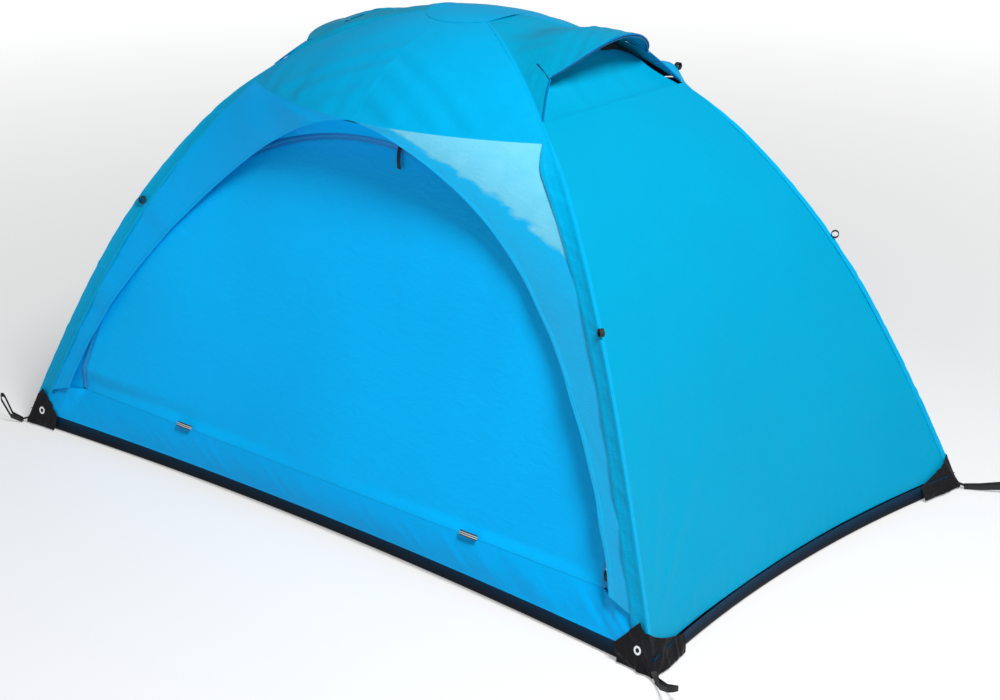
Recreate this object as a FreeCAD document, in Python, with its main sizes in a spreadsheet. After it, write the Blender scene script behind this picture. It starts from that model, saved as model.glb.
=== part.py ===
"""Two-person dome tent on two crossing shock-corded poles and a short ridge pole, in millimetres.

Frame: +Z up, the ground at z = 0, the origin under the crown, +X along the long side, and the door
on the -Y side.
"""

import FreeCAD
import Part
import Sketcher
import math
import os
from FreeCAD import Placement, Rotation, Vector

os.makedirs("parts", exist_ok=True)
doc = FreeCAD.newDocument("dome_tent")

# ---------------------------------------------------------------- driving dimensions
DIMENSIONS = {
    "floor_length": 2080.0,  # corner to corner along X
    "floor_width": 1247.0,  # corner to corner along Y
    "crown_height": 1150.0,  # top of the fabric over the pole crossing
    "cloth": 1.2,  # stand-in thickness of every fabric panel
    "seam_gap": 3.0,  # gap between panels that are sewn together
    "cloth_clearance": 4.0,  # from a pole's wall to the fabric over it
    "pole_diameter": 8.5,
    "pole_wall": 0.7,
    "pole_gap": 0.8,  # between two poles where they cross
    "pole_inset": 32.0,  # a pole's foot, in from the fabric's corner
    "pole_tip_length": 22.0,
    "ferrule_clearance": 0.1,  # on the radius, inside a pole section
    "ferrule_reach": 30.0,  # into each of the two sections
    "shock_cord_diameter": 3.0,
    "tie_wire": 1.5,  # radius of the rings that tie the canopy to a pole
    "floor_rim": 28.0,
    "floor_sag_front": 65.0,  # how far the hems curve in between the corners
    "floor_sag_end": 80.0,
    "brow_drop": 190.0,  # from the crown down to the brow over the door
    "brow_reach": 420.0,  # from the crown out to the brow
    "ridge_pole_inset": 26.0,  # each end of the short pole, in from the brow
    "sill_height": 125.0,
    "sill_sag": 22.0,
    "door_sill_inset": 31.0,  # door plane behind the pole plane at the sill
    "door_top_outset": 8.0,  # door plane in front of the pole plane at the top
    "door_side_margin": 160.0,  # zip to the fabric's corner
    "door_top_margin": 62.0,  # zip to the brow
    "zip_centre_drop": 60.0,  # zip circle's centre below the sill
    "zip_tape": 9.0,
    "zip_gap": 3.0,
    "zip_thickness": 2.4,
    "surround_width": 44.0,
    "flap_half_width": 920.0,  # rain flap's edge at the ground
    "flap_power": 1.55,  # roundness of the rain flap's edge
    "slider_length": 14.0,
    "slider_width": 10.0,
    "slider_plate": 1.4,
    "pull_length": 55.0,
    "short_pull_length": 24.0,
    "pull_thickness": 1.6,
    "peg_radius": 1.2,
    "peg_clearance": 0.3,
    "pull_width": 9.0,
    "vent_tip": 500.0,  # vent's tips, out from the crown along the diagonal
    "vent_edge": 325.0,  # roof's edge over the vent, out from the crown
    "hood_gap": 20.0,
    "hood_rim": 450.0,
    "hood_shoulder": 385.0,
    "hood_half": 0.76,  # hood's half width, as a share of the pole spacing there
    "vent_wall_share": 0.72,  # height of the cloth under the hood, as a share of the vent; mesh is above
    "hood_axis_drop": 50.0,
    "hood_wire": 4.0,
    "left_roof_drop": 45.0,
    "patch_height": 105.0,
    "patch_reach": 120.0,
    "patch_gap": 0.6,
    "patch_cloth": 1.4,
    "grommet_bore": 5.0,
    "grommet_flange": 10.0,
    "loop_length": 105.0,
    "loop_width": 26.0,
    "webbing_width": 12.0,
    "webbing": 2.0,
    "guy_height": 636.0,
}

sheet = doc.addObject("Spreadsheet::Sheet", "Sizes")
for row, (word, value) in enumerate(DIMENSIONS.items(), start=1):
    sheet.set(f"A{row}", word.replace("_", " "))
    sheet.set(f"B{row}", str(value))
    sheet.setAlias(f"B{row}", word)
doc.recompute()


def size(word):
    """The number in the cell with this alias."""
    return float(sheet.get(word))


parts = []


def keep(node, thing):
    """Label an object with its node's name and list it for export."""
    thing.Label = node
    parts.append(thing)
    return thing


def keep_shape(node, shapes):
    """A Part::Feature made of one or more solids."""
    thing = doc.addObject("Part::Feature", node)
    thing.Shape = shapes[0] if len(shapes) == 1 else Part.makeCompound(shapes)
    return keep(node, thing)


def mirrored_x(shape):
    return shape.mirror(Vector(0, 0, 0), Vector(1, 0, 0))


# ---------------------------------------------------------------- arches
# A pole is a chain of seven equal arcs that meet in line. Each turns by its share of the whole.
TURN_SHARES = [6, 16, 27, 36, 27, 16, 6]

cloth = size("cloth")
pole_radius = size("pole_diameter") / 2
half_length = size("floor_length") / 2
half_width = size("floor_width") / 2
half_diagonal = math.hypot(half_length, half_width)
diagonal = math.atan2(half_width, half_length)
cloth_offset = pole_radius + size("cloth_clearance") + cloth
pole_pitch = size("pole_diameter") + size("pole_gap")


class Arch:
    """A symmetric chain of arcs from (-half_span, foot) up to (0, crown), in (r, z)."""

    def __init__(self, half_span, foot, crown):
        self.half_span, self.foot, self.crown = half_span, foot, crown
        low, high = 20.0, 89.0
        for _ in range(60):
            middle = (low + high) / 2
            if self.slope_ratio(middle) < (crown - foot) / half_span:
                low = middle
            else:
                high = middle
        self.foot_angle = math.radians(middle)
        self.arcs = self.lay(self.foot_angle, half_span / self.reach(middle))

    def steps(self, foot_angle, length):
        """Yield each arc's start, heading and turn."""
        r, z, heading = 0.0, 0.0, foot_angle
        for share in TURN_SHARES:
            turn = 2 * foot_angle * share / sum(TURN_SHARES)
            yield r, z, heading, turn
            chord = length * math.sin(turn / 2) / (turn / 2)
            r += chord * math.cos(heading - turn / 2)
            z += chord * math.sin(heading - turn / 2)
            heading -= turn

    def middle_point(self, degrees):
        r, z, heading, turn = list(self.steps(math.radians(degrees), 1.0))[3]
        radius = 1.0 / turn
        return (
            r + radius * (math.sin(heading) - math.sin(heading - turn / 2)),
            z + radius * (math.cos(heading - turn / 2) - math.cos(heading)),
        )

    def slope_ratio(self, degrees):
        r, z = self.middle_point(degrees)
        return z / r

    def reach(self, degrees):
        return self.middle_point(degrees)[0]

    def lay(self, foot_angle, length):
        """(centre r, centre z, radius, start angle, turn) of each arc; angles run from +r to +z."""
        arcs = []
        for r, z, heading, turn in self.steps(foot_angle, length):
            radius = length / turn
            centre_r = r - self.half_span + radius * math.sin(heading)
            centre_z = z + self.foot - radius * math.cos(heading)
            arcs.append((centre_r, centre_z, radius, heading + math.pi / 2, turn))
        return arcs

    def at(self, share):
        """(distance from the crown, height) on one leg: 0 is the foot and 1 the crown."""
        number = min(int(share * 3.5), 3)
        centre_r, centre_z, radius, start, turn = self.arcs[number]
        angle = start - turn * (share * 3.5 - number)
        return -centre_r - radius * math.cos(angle), centre_z + radius * math.sin(angle)

    def share_at(self, height):
        low, high = 0.0, 1.0
        for _ in range(50):
            middle = (low + high) / 2
            if self.at(middle)[1] < height:
                low = middle
            else:
                high = middle
        return middle

    def share_out(self, distance):
        low, high = 0.0, 1.0
        for _ in range(50):
            middle = (low + high) / 2
            if self.at(middle)[0] > distance:
                low = middle
            else:
                high = middle
        return middle


ridge_axis_height = size("crown_height") - cloth_offset
ridge = Arch(half_diagonal, 0.0, size("crown_height"))
pole_foot = cloth + size("pole_tip_length")
upper_pole = Arch(half_diagonal - size("pole_inset"), pole_foot, ridge_axis_height - pole_pitch)
lower_pole = Arch(half_diagonal - size("pole_inset"), pole_foot, ridge_axis_height - 2 * pole_pitch)

# The short ridge pole is two arcs from brow to brow over the crossing.
brow_radius = (size("brow_reach") ** 2 + size("brow_drop") ** 2) / (2 * size("brow_drop"))
brow_turn = math.asin(size("brow_reach") / brow_radius)
brow_height = size("crown_height") - size("brow_drop")


def brow_line(height):
    """Distance from the crown of the fabric over the ridge pole, at a height above the brow."""
    drop = size("crown_height") - height
    return math.sqrt(max(brow_radius**2 - (brow_radius - drop) ** 2, 0.0))


# ---------------------------------------------------------------- helpers for sketched pieces
def origin_part(body, role):
    return next(feature for feature in body.Origin.OriginFeatures if feature.Role == role)


def new_sketch(body, name, role="XY_Plane"):
    sketch = body.newObject("Sketcher::SketchObject", name)
    sketch.AttachmentSupport = [(origin_part(body, role), "")]
    sketch.MapMode = "FlatFace"
    return sketch


def constrain(sketch, *values, words=None):
    """Add a constraint, and bind it to an expression where one is given."""
    number = sketch.addConstraint(Sketcher.Constraint(*values))
    if words:
        sketch.setExpression(f"Constraints[{number}]", words)
    return number


def pad(body, sketch, words, middle=False):
    feature = body.newObject("PartDesign::Pad", sketch.Name + "_pad")
    feature.Profile = sketch
    feature.Midplane = middle
    feature.setExpression("Length", words)
    sketch.Visibility = False
    return feature


# ---------------------------------------------------------------- poles
def arc_body(node, arc, azimuth):
    """A pole section: a ring revolved about Y through the arc's turn, stood in the arch's plane."""
    centre_r, centre_z, arc_radius, start, turn = arc
    body = doc.addObject("PartDesign::Body", node)
    sketch = new_sketch(body, node + "_ring")
    for words in ("Sizes.pole_diameter / 2", "Sizes.pole_diameter / 2 - Sizes.pole_wall"):
        circle = sketch.addGeometry(Part.Circle(Vector(arc_radius, 0, 0), Vector(0, 0, 1), pole_radius))
        constrain(sketch, "PointOnObject", circle, 3, -1)
        constrain(sketch, "DistanceX", -1, 1, circle, 3, arc_radius)
        constrain(sketch, "Radius", circle, pole_radius, words=words)
    revolution = body.newObject("PartDesign::Revolution", node + "_arc")
    revolution.Profile = sketch
    revolution.ReferenceAxis = (origin_part(body, "Y_Axis"), [""])
    revolution.Angle = math.degrees(turn)
    sketch.Visibility = False
    # Revolving about +Y carries +X towards -Z, so the body is first turned back by its start angle.
    swing = Rotation(Vector(0, 0, 1), math.degrees(azimuth))
    lean = Rotation(Vector(0, 1, 0), -math.degrees(start))
    body.Placement = Placement(swing.multVec(Vector(centre_r, 0, centre_z)), swing * lean)
    return keep(node, body)


def arc_rod(arc, azimuth, radius, skip=0.0, length=None):
    """A rod along an arc, from skip past its start, for a length or to its end."""
    centre_r, centre_z, arc_radius, start, turn = arc
    span = (turn - skip / arc_radius) if length is None else length / arc_radius
    low = start - skip / arc_radius - span
    rod = Part.makeTorus(
        arc_radius, radius, Vector(0, 0, 0), Vector(0, 0, 1), -180, 180, math.degrees(span)
    )
    swing = Rotation(Vector(0, 0, 1), math.degrees(azimuth))
    stand = Rotation(Vector(1, 0, 0), 90) * Rotation(Vector(0, 0, 1), math.degrees(low))
    rod.Placement = Placement(swing.multVec(Vector(centre_r, 0, centre_z)), swing * stand)
    return rod


def arc_point(arc, azimuth, skip):
    """Point and heading on an arc's centre line, skip past its start."""
    centre_r, centre_z, arc_radius, start, turn = arc
    angle = start - skip / arc_radius
    r = centre_r + arc_radius * math.cos(angle)
    z = centre_z + arc_radius * math.sin(angle)
    across = Vector(math.cos(azimuth), math.sin(azimuth), 0)
    heading = across * math.sin(angle) + Vector(0, 0, 1) * -math.cos(angle)
    return across * r + Vector(0, 0, z), heading


cord_radius = size("shock_cord_diameter") / 2
ferrule_radius = pole_radius - size("pole_wall") - size("ferrule_clearance")
reach = size("ferrule_reach")


def ferrule(before, after, azimuth):
    """The tube that joins two sections: half in each, along each one's own arc."""
    length_before = before[2] * before[4]
    halves = []
    for radius in (ferrule_radius, ferrule_radius - size("pole_wall")):
        first = arc_rod(before, azimuth, radius, skip=length_before - reach, length=reach)
        second = arc_rod(after, azimuth, radius, length=reach)
        halves.append(first.fuse(second))
    return halves[0].cut(halves[1])


def make_pole(name, arcs, azimuth):
    """Sections, the ferrules between them, and the shock cord through them all."""
    for number, arc in enumerate(arcs, start=1):
        arc_body(f"{name}_section_{number}", arc, azimuth)
    joints = [ferrule(arcs[i], arcs[i + 1], azimuth) for i in range(len(arcs) - 1)]
    keep_shape(f"{name}_ferrules", joints)
    cord = arc_rod(arcs[0], azimuth, cord_radius)
    for arc in arcs[1:]:
        cord = cord.fuse(arc_rod(arc, azimuth, cord_radius))
    keep_shape(f"{name}_shock_cord", [cord])


lower_azimuth, upper_azimuth = diagonal, -diagonal
make_pole("lower_pole", lower_pole.arcs, lower_azimuth)
make_pole("upper_pole", upper_pole.arcs, upper_azimuth)

ridge_radius = brow_radius - cloth_offset
ridge_turn = brow_turn - size("ridge_pole_inset") / ridge_radius
ridge_centre = ridge_axis_height - ridge_radius
ridge_arcs = [
    (0.0, ridge_centre, ridge_radius, math.pi / 2 + ridge_turn, ridge_turn),
    (0.0, ridge_centre, ridge_radius, math.pi / 2, ridge_turn),
]
make_pole("ridge_pole", ridge_arcs, math.pi / 2)


def pole_tip(arc, azimuth, at_start):
    """A turned tip: a spigot in the section's end, a collar, and a pin down to the floor."""
    length = arc[2] * arc[4]
    point, heading = arc_point(arc, azimuth, 0.0 if at_start else length)
    out = heading * (-1 if at_start else 1)
    inside = pole_radius - size("pole_wall") - size("ferrule_clearance")
    # The tip leans with the pole, so it is as long as the height allows along its own slope.
    lean_out = math.hypot(out.x, out.y)
    long = (point.z - cloth - 1.0 - 0.8 * lean_out * pole_radius) / -out.z
    collar = Part.makeCylinder(pole_radius, 4.0, point + out * 0.1, out)
    pin = Part.makeCylinder(pole_radius * 0.62, long - 4.0, point + out * 4.0, out)
    plug = Part.makeCylinder(inside, 12.0, point - out * 11.9, out)
    hollow = Part.makeCylinder(cord_radius + 0.3, 12.0, point - out * 12.0, out)
    return collar.fuse(pin).fuse(plug).cut(hollow)


tips = []
for arch, azimuth in ((lower_pole, lower_azimuth), (upper_pole, upper_azimuth)):
    tips.append(pole_tip(arch.arcs[0], azimuth, True))
    tips.append(pole_tip(arch.arcs[-1], azimuth, False))
keep_shape("pole_tips", tips)

caps = []
for arc, at_start in ((ridge_arcs[0], True), (ridge_arcs[1], False)):
    point, heading = arc_point(arc, math.pi / 2, 0.0 if at_start else arc[2] * arc[4])
    out = heading * (-1 if at_start else 1)
    caps.append(Part.makeCylinder(pole_radius, 5.0, point + out * 0.1, out))
keep_shape("ridge_pole_caps", caps)

# Rings that tie the canopy to the two long poles.
TIE_PLACES = (0.16, 0.34, 0.52, 0.70, 0.86)
ring_radius = pole_radius + 0.4 + size("tie_wire")
ties = []
for arch, azimuth in ((lower_pole, lower_azimuth), (upper_pole, upper_azimuth)):
    for share in TIE_PLACES:
        number = min(int(share * 3.5), 3)
        arc = arch.arcs[number]
        skip = (share * 3.5 - number) * arc[2] * arc[4]
        point, heading = arc_point(arc, azimuth, skip)
        for turn in (0, 180):
            ring = Part.makeTorus(ring_radius, size("tie_wire"), point, heading)
            ring.rotate(Vector(0, 0, 0), Vector(0, 0, 1), turn)
            ties.append(ring)
keep_shape("pole_ties", ties)


# ---------------------------------------------------------------- canopy panels
def surface(grid):
    spline = Part.BSplineSurface()
    spline.interpolate(grid)
    return spline


def sheet_solid(grid, thickness, lift=0.0, inside=Vector(0, 0, 300)):
    """A closed sheet: the grid is its outer face, lifted outwards, and its thickness goes inwards."""
    rows, columns = len(grid), len(grid[0])
    outer, inner = [], []
    for i in range(rows):
        outer_row, inner_row = [], []
        for j in range(columns):
            along = grid[min(i + 1, rows - 1)][j] - grid[max(i - 1, 0)][j]
            across = grid[i][min(j + 1, columns - 1)] - grid[i][max(j - 1, 0)]
            normal = along.cross(across)
            normal.normalize()
            if normal.dot(grid[i][j] - inside) < 0:
                normal = normal * -1
            outer_row.append(grid[i][j] + normal * lift)
            inner_row.append(grid[i][j] + normal * (lift - thickness))
        outer.append(outer_row)
        inner.append(inner_row)
    top, bottom = surface(outer), surface(inner)
    u_0, u_1, v_0, v_1 = top.bounds()
    faces = [top.toShape(), bottom.toShape()]
    for edge_a, edge_b in (
        (top.uIso(u_0), bottom.uIso(u_0)),
        (top.uIso(u_1), bottom.uIso(u_1)),
        (top.vIso(v_0), bottom.vIso(v_0)),
        (top.vIso(v_1), bottom.vIso(v_1)),
    ):
        faces.append(Part.makeRuledSurface(edge_a.toShape(), edge_b.toShape()))
    shell = Part.makeShell(faces)
    shell.sewShape(0.01)
    solid = Part.makeSolid(shell)
    if solid.Volume < 0:
        solid.reverse()
    return solid


def steps(low, high, count):
    return [low + (high - low) * i / (count - 1) for i in range(count)]


def between(value, knots):
    """Straight-line reading of a list of (place, value)."""
    for (place_a, value_a), (place_b, value_b) in zip(knots, knots[1:]):
        if value <= place_b:
            return value_a + (value_b - value_a) * (value - place_a) / (place_b - place_a)
    return knots[-1][1]


def spread(height):
    """Half length and half width of the fabric's corners at a height."""
    distance = ridge.at(ridge.share_at(height))[0]
    return distance * math.cos(diagonal), distance * math.sin(diagonal)


# How far each wall curves in at its middle, at a few heights; below 0 it bulges out.
brow_sag = spread(brow_height)[1] - size("brow_reach")
front_knots = [
    (0.0, size("floor_sag_front")),
    (size("sill_height"), size("sill_sag")),
    (0.45 * brow_height, 45.0),
    (0.62 * brow_height, 45.0),
    (0.75 * brow_height, 5.0),
    (brow_height, brow_sag),
]
back_knots = [
    (0.0, size("floor_sag_front")),
    (0.42 * brow_height, 25.0),
    (0.62 * brow_height, -12.0),
    (0.75 * brow_height, -42.0),
    (brow_height, brow_sag),
]
tip_distance = size("vent_tip")
tip_height = ridge.at(ridge.share_out(tip_distance))[1]
end_knots = [(0.0, size("floor_sag_end")), (0.45 * tip_height, 28.0), (tip_height, 0.0)]


def long_side_point(height, u, side):
    """A point on the front (side -1) or back (side 1); u runs from -1 to 1 between the poles."""
    x_corner, y_corner = spread(height)
    if height > brow_height:
        sag = y_corner - brow_line(height)
    else:
        sag = between(height, front_knots if side < 0 else back_knots)
    return Vector(u * x_corner, side * (y_corner - sag * (1 - u * u)), height)


def end_point(height, v, side):
    x_corner, y_corner = spread(height)
    sag = between(height, end_knots)
    return Vector(side * (x_corner - sag * (1 - v * v)), v * y_corner, height)


seam = cloth + size("seam_gap")
hem = size("floor_rim") + 1.0
patch_out = 105.0


def heights(low, high, count):
    """Heights evenly spaced along the pole."""
    return [ridge.at(share)[1] for share in steps(ridge.share_at(low), ridge.share_at(high), count)]


def long_side_panel(low, high, side, count, columns=15):
    """A panel of the front (side -1) or back (side 1) between two heights, from seam to seam."""
    grid = []
    for height in heights(low, high, count):
        limit = 1 - seam / spread(height)[0]
        grid.append([long_side_point(height, u, side) for u in steps(-limit, limit, columns)])
    return sheet_solid(grid, cloth)


def brow_roof(side):
    """The roof over the front or back, from the brow in to the crown patch's round edge."""
    columns = []
    limit = 1 - seam / spread(brow_height)[0]
    for u in steps(-limit, limit, 17):
        low, high = ridge.share_at(brow_height), 1.0
        for _ in range(40):
            middle = (low + high) / 2
            point = long_side_point(ridge.at(middle)[1], u, side)
            if math.hypot(point.x, point.y) > patch_out:
                low = middle
            else:
                high = middle
        shares = steps(ridge.share_at(brow_height), middle, 13)
        columns.append([long_side_point(ridge.at(share)[1], u, side) for share in shares])
    return sheet_solid(columns, cloth)


def end_panel(side):
    grid = []
    for height in heights(hem, tip_height, 22):
        grid.append([end_point(height, v, side) for v in steps(-1, 1, 13)])
    return sheet_solid(grid, cloth)


sill_top = size("sill_height") - size("seam_gap")
front_sill = long_side_panel(hem, sill_top, -1, 5)
back_wall = long_side_panel(hem, brow_height - size("seam_gap"), 1, 20)
keep_shape("brow_panel", [brow_roof(-1)])
keep_shape("back_roof", [brow_roof(1)])


def flap_edge(height):
    """Half width of the rain flap's arched edge."""
    power = size("flap_power")
    return size("flap_half_width") * (1 - (height / brow_height) ** power) ** (1 / power)


def flap_panel(side):
    power = size("flap_power")
    low = math.asin(((size("sill_height") + 15) / brow_height) ** (power / 2))
    high = math.asin(((brow_height - size("seam_gap")) / brow_height) ** (power / 2))
    grid = []
    for angle in steps(low, high, 22):
        height = brow_height * math.sin(angle) ** (2 / power)
        x_corner = spread(height)[0]
        outer = 1 - seam / x_corner
        inner = min(flap_edge(height) / x_corner, outer - 0.02)
        grid.append([long_side_point(height, side * u, -1) for u in steps(inner, outer, 9)])
    return sheet_solid(grid, cloth)


keep_shape("rain_flap_left", [flap_panel(-1)])
keep_shape("rain_flap_right", [flap_panel(1)])
keep_shape("end_wall_left", [end_panel(-1)])
keep_shape("end_wall_right", [end_panel(1)])


# The roof over each end runs from the crown to the vent; its edge dips back over the vent's mouth.
vent_edge = size("vent_edge")
tip_x = tip_distance * math.cos(diagonal)


def roof_point(x, u, side):
    """A point on the roof over an end, and on the hood that carries it on."""
    edge_height = ridge.at(ridge.share_out(x / math.cos(diagonal)))[1]
    drop = size("left_roof_drop") if side < 0 else 0.0
    middle = size("crown_height") - 1.0 - drop * (x / vent_edge) ** 2
    height = edge_height + (middle - edge_height) * (1 - u * u)
    return Vector(side * x, u * x * math.tan(diagonal), height)


def roof_end(u):
    return vent_edge + (tip_x - 4.0 - vent_edge) * abs(u) ** 8


def roof_panel(side):
    grid = []
    for u in steps(-1, 1, 25):
        start = patch_out / math.sqrt(1 + (u * math.tan(diagonal)) ** 2)
        grid.append([roof_point(x, u, side) for x in steps(start, roof_end(u), 11)])
    return sheet_solid(grid, cloth)


def hood_rim(u):
    share = u / size("hood_half")
    return size("hood_rim") - (size("hood_rim") - size("hood_shoulder")) * share * share


def hood_panel(side):
    grid = []
    for u in steps(-size("hood_half"), size("hood_half"), 13):
        start = roof_end(u) + size("hood_gap")
        grid.append([roof_point(x, u, side) for x in steps(start, hood_rim(u), 6)])
    return sheet_solid(grid, cloth)


def hood_wire(side):
    """A sprung wire in the hood's rim, just under the cloth."""
    radius = size("hood_wire") / 2
    points = []
    for u in steps(-size("hood_half") + 0.03, size("hood_half") - 0.03, 9):
        point = roof_point(hood_rim(u) - radius - 2, u, side)
        points.append(point - Vector(0, 0, (cloth + radius) * 1.25 + 0.6))
    curve = Part.BSplineCurve()
    curve.interpolate(points)
    path = Part.Wire([curve.toShape()])
    start = curve.tangent(curve.FirstParameter)[0]
    ring = Part.Wire([Part.makeCircle(radius, points[0], start)])
    return path.makePipeShell([ring], True, True)


def vent_sheet(side, low_share, high_share, thickness):
    """Part of the sheet under the hood, which slopes from the end wall's top up to the roof's edge."""
    grid = []
    for v in steps(low_share, high_share, 7):
        row = []
        for u in steps(-1, 1, 13):
            low = Vector(side * (tip_x - 10), 0.88 * u * tip_x * math.tan(diagonal), tip_height + 2)
            high = roof_point(vent_edge - 6, 0.78 * u, side) - Vector(0, 0, 12)
            row.append(low * (1 - v) + high * v)
        grid.append(row)
    return sheet_solid(grid, thickness)


wall_share = size("vent_wall_share")
vent_walls = []
for word, side in (("left", -1), ("right", 1)):
    keep_shape(f"roof_{word}", [roof_panel(side)])
    keep_shape(f"vent_hood_{word}", [hood_panel(side)])
    keep_shape(f"hood_wire_{word}", [hood_wire(side)])
    vent_walls.append(vent_sheet(side, 0.0, wall_share, cloth))
    keep_shape(f"vent_mesh_{word}", [vent_sheet(side, wall_share + 0.02, 1.0, cloth / 2)])
keep_shape("vent_walls", vent_walls)

# The crown patch is a shallow cap over the crossing, cut from two spheres.
CAP_RADIUS = 900.0
spheres = []
for name, less in (("cap_outside", 0.0), ("cap_inside", cloth)):
    sphere = doc.addObject("Part::Sphere", name)
    sphere.Radius = CAP_RADIUS - less
    sphere.Placement.Base = Vector(0, 0, size("crown_height") - CAP_RADIUS)
    spheres.append(sphere)
shell = doc.addObject("Part::Cut", "cap_shell")
shell.Base, shell.Tool = spheres
core = doc.addObject("Part::Cylinder", "cap_core")
core.Radius = patch_out - size("seam_gap")
core.Height = CAP_RADIUS
cap = doc.addObject("Part::Common", "crown_patch")
cap.Base, cap.Tool = shell, core
core.Placement.Base = Vector(0, 0, size("crown_height") - CAP_RADIUS / 2)
keep("crown_patch", cap)

# ---------------------------------------------------------------- floor
rim_x, rim_y = spread(size("floor_rim"))


def tub_outline(body, name, inset):
    """Four arcs that curve in between the floor's corners."""
    sketch = new_sketch(body, name)
    x_0, y_0 = rim_x - inset, rim_y - inset
    corners = [Vector(x_0, y_0, 0), Vector(-x_0, y_0, 0), Vector(-x_0, -y_0, 0), Vector(x_0, -y_0, 0)]
    bends = [
        Vector(0, y_0 - size("floor_sag_front"), 0),
        Vector(size("floor_sag_end") - x_0, 0, 0),
        Vector(0, size("floor_sag_front") - y_0, 0),
        Vector(x_0 - size("floor_sag_end"), 0, 0),
    ]
    for number in range(4):
        start, stop = corners[number], corners[(number + 1) % 4]
        sketch.addGeometry(Part.Arc(start, bends[number], stop))
    return sketch


tub = doc.addObject("PartDesign::Body", "floor_tub")
pad(tub, tub_outline(tub, "floor_outline", 0.0), "Sizes.floor_rim")
doc.recompute()
full = tub.Shape.Volume
hollow_sketch = tub_outline(tub, "floor_hollow", cloth)
hollow_sketch.AttachmentOffset = Placement(Vector(0, 0, cloth), Rotation())
hollow = tub.newObject("PartDesign::Pocket", "floor_pocket")
hollow.Profile = hollow_sketch
hollow.Reversed = True
hollow.setExpression("Length", "Sizes.floor_rim")
keep("floor_tub", tub)
doc.recompute()
assert tub.Shape.Volume < 0.5 * full, "the floor's hollow cut nothing"

# ---------------------------------------------------------------- door
sill_y = spread(size("sill_height"))[1] - size("door_sill_inset")
top_y = spread(brow_height - size("door_top_margin"))[1] + size("door_top_outset")
door_rise = brow_height - size("door_top_margin") - size("sill_height")
lean = math.atan2(sill_y - top_y, door_rise)
door_place = Placement(
    Vector(0, -sill_y, size("sill_height")), Rotation(Vector(1, 0, 0), 90 - math.degrees(lean))
)
drop = size("zip_centre_drop")
widest = half_length - size("door_side_margin")
zip_radius = min(math.hypot(widest, drop), door_rise / math.cos(lean) + drop)
sheet.set("A90", "zip radius, worked out")
sheet.set("B90", str(zip_radius))
sheet.setAlias("B90", "zip_radius")
sheet.set("B91", "2")
sheet.setAlias("B91", "sill_clearance")
doc.recompute()


def arched_body(node, outer_words, inner_words, thickness_words):
    """A plate in the door's plane: an arched strip, or the whole arch where there is no inner edge."""
    body = doc.addObject("PartDesign::Body", node)
    sketch = new_sketch(body, node + "_outline")
    outer = arch_arc(sketch, outer_words)
    if inner_words:
        inner = arch_arc(sketch, inner_words)
        for end in (1, 2):
            foot_line(sketch, (outer, end), (inner, end))
    else:
        foot_line(sketch, (outer, 1), (outer, 2))
    pad(body, sketch, thickness_words, middle=True)
    body.Placement = door_place
    return keep(node, body)


def arch_arc(sketch, words):
    radius = float(FreeCAD.ActiveDocument.Sizes.evalExpression(words.replace("Sizes.", "")))
    start = math.asin((drop + 2) / radius)
    circle = Part.Circle(Vector(0, -drop, 0), Vector(0, 0, 1), radius)
    arc = sketch.addGeometry(Part.ArcOfCircle(circle, start, math.pi - start))
    constrain(sketch, "PointOnObject", arc, 3, -2)
    constrain(sketch, "DistanceY", arc, 3, -1, 1, drop, words="Sizes.zip_centre_drop")
    constrain(sketch, "Radius", arc, radius, words=words)
    for end in (1, 2):
        constrain(sketch, "DistanceY", -1, 1, arc, end, 2.0, words="Sizes.sill_clearance")
    return arc


def point_of(sketch, place):
    return sketch.getPoint(*place)


def foot_line(sketch, place_a, place_b):
    line = sketch.addGeometry(Part.LineSegment(point_of(sketch, place_a), point_of(sketch, place_b)))
    constrain(sketch, "Coincident", line, 1, *place_a)
    constrain(sketch, "Coincident", line, 2, *place_b)


ZIP = "Sizes.zip_radius"
TAPE = "Sizes.zip_tape"
GAP = "Sizes.zip_gap"
arched_body("door_zip_outer_half", f"{ZIP} + {TAPE}", f"{ZIP} + {GAP} / 2", "Sizes.zip_thickness")
arched_body("door_zip_inner_half", f"{ZIP} - {GAP} / 2", f"{ZIP} - {TAPE}", "Sizes.zip_thickness")
SURROUND_IN = f"{ZIP} + {TAPE} + 1"
arched_body("door_surround", f"{SURROUND_IN} + Sizes.surround_width", SURROUND_IN, "Sizes.cloth")
arched_body("door_panel", f"{ZIP} - {TAPE} - 1", None, "Sizes.cloth")


def door_point(angle, radius=None):
    """Placement on the zip's line, angle degrees from its top towards +X, turned to follow it."""
    radius = zip_radius if radius is None else radius
    turned = Placement(Vector(0, -drop, 0), Rotation(Vector(0, 0, 1), -angle))
    return door_place * turned * Placement(Vector(0, radius, 0), Rotation())


half_zip = size("zip_thickness") / 2
plate = size("slider_plate")
SLIDE_CLEARANCE = 0.3


def slider(node, angle):
    """A front plate over both tapes, a post in the gap, a back wing behind the canopy's tape, a peg."""
    length, width = size("slider_length"), size("slider_width")
    post = size("zip_gap") / 2
    low = -half_zip - SLIDE_CLEARANCE - plate
    high = half_zip + SLIDE_CLEARANCE
    front = Part.makeBox(length, width, plate, Vector(-length / 2, -width / 2, high))
    middle = Part.makeBox(length / 2, post, high - low, Vector(-length / 4, -post / 2, low))
    back = Part.makeBox(length, width / 2 + post / 2, plate, Vector(-length / 2, -post / 2, low))
    peg = size("peg_radius")
    stem = Part.makeCylinder(peg, plate + size("pull_thickness") + 1.0, Vector(0, 0, high))
    stem_top = high + plate + size("pull_thickness") + 0.7
    head = Part.makeCylinder(2.2 * peg, 0.8, Vector(0, 0, stem_top))
    shape = front.fuse([middle, back, stem, head]).removeSplitter()
    thing = doc.addObject("Part::Feature", node)
    thing.Shape = shape
    thing.Placement = door_point(angle)
    return keep(node, thing)


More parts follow.
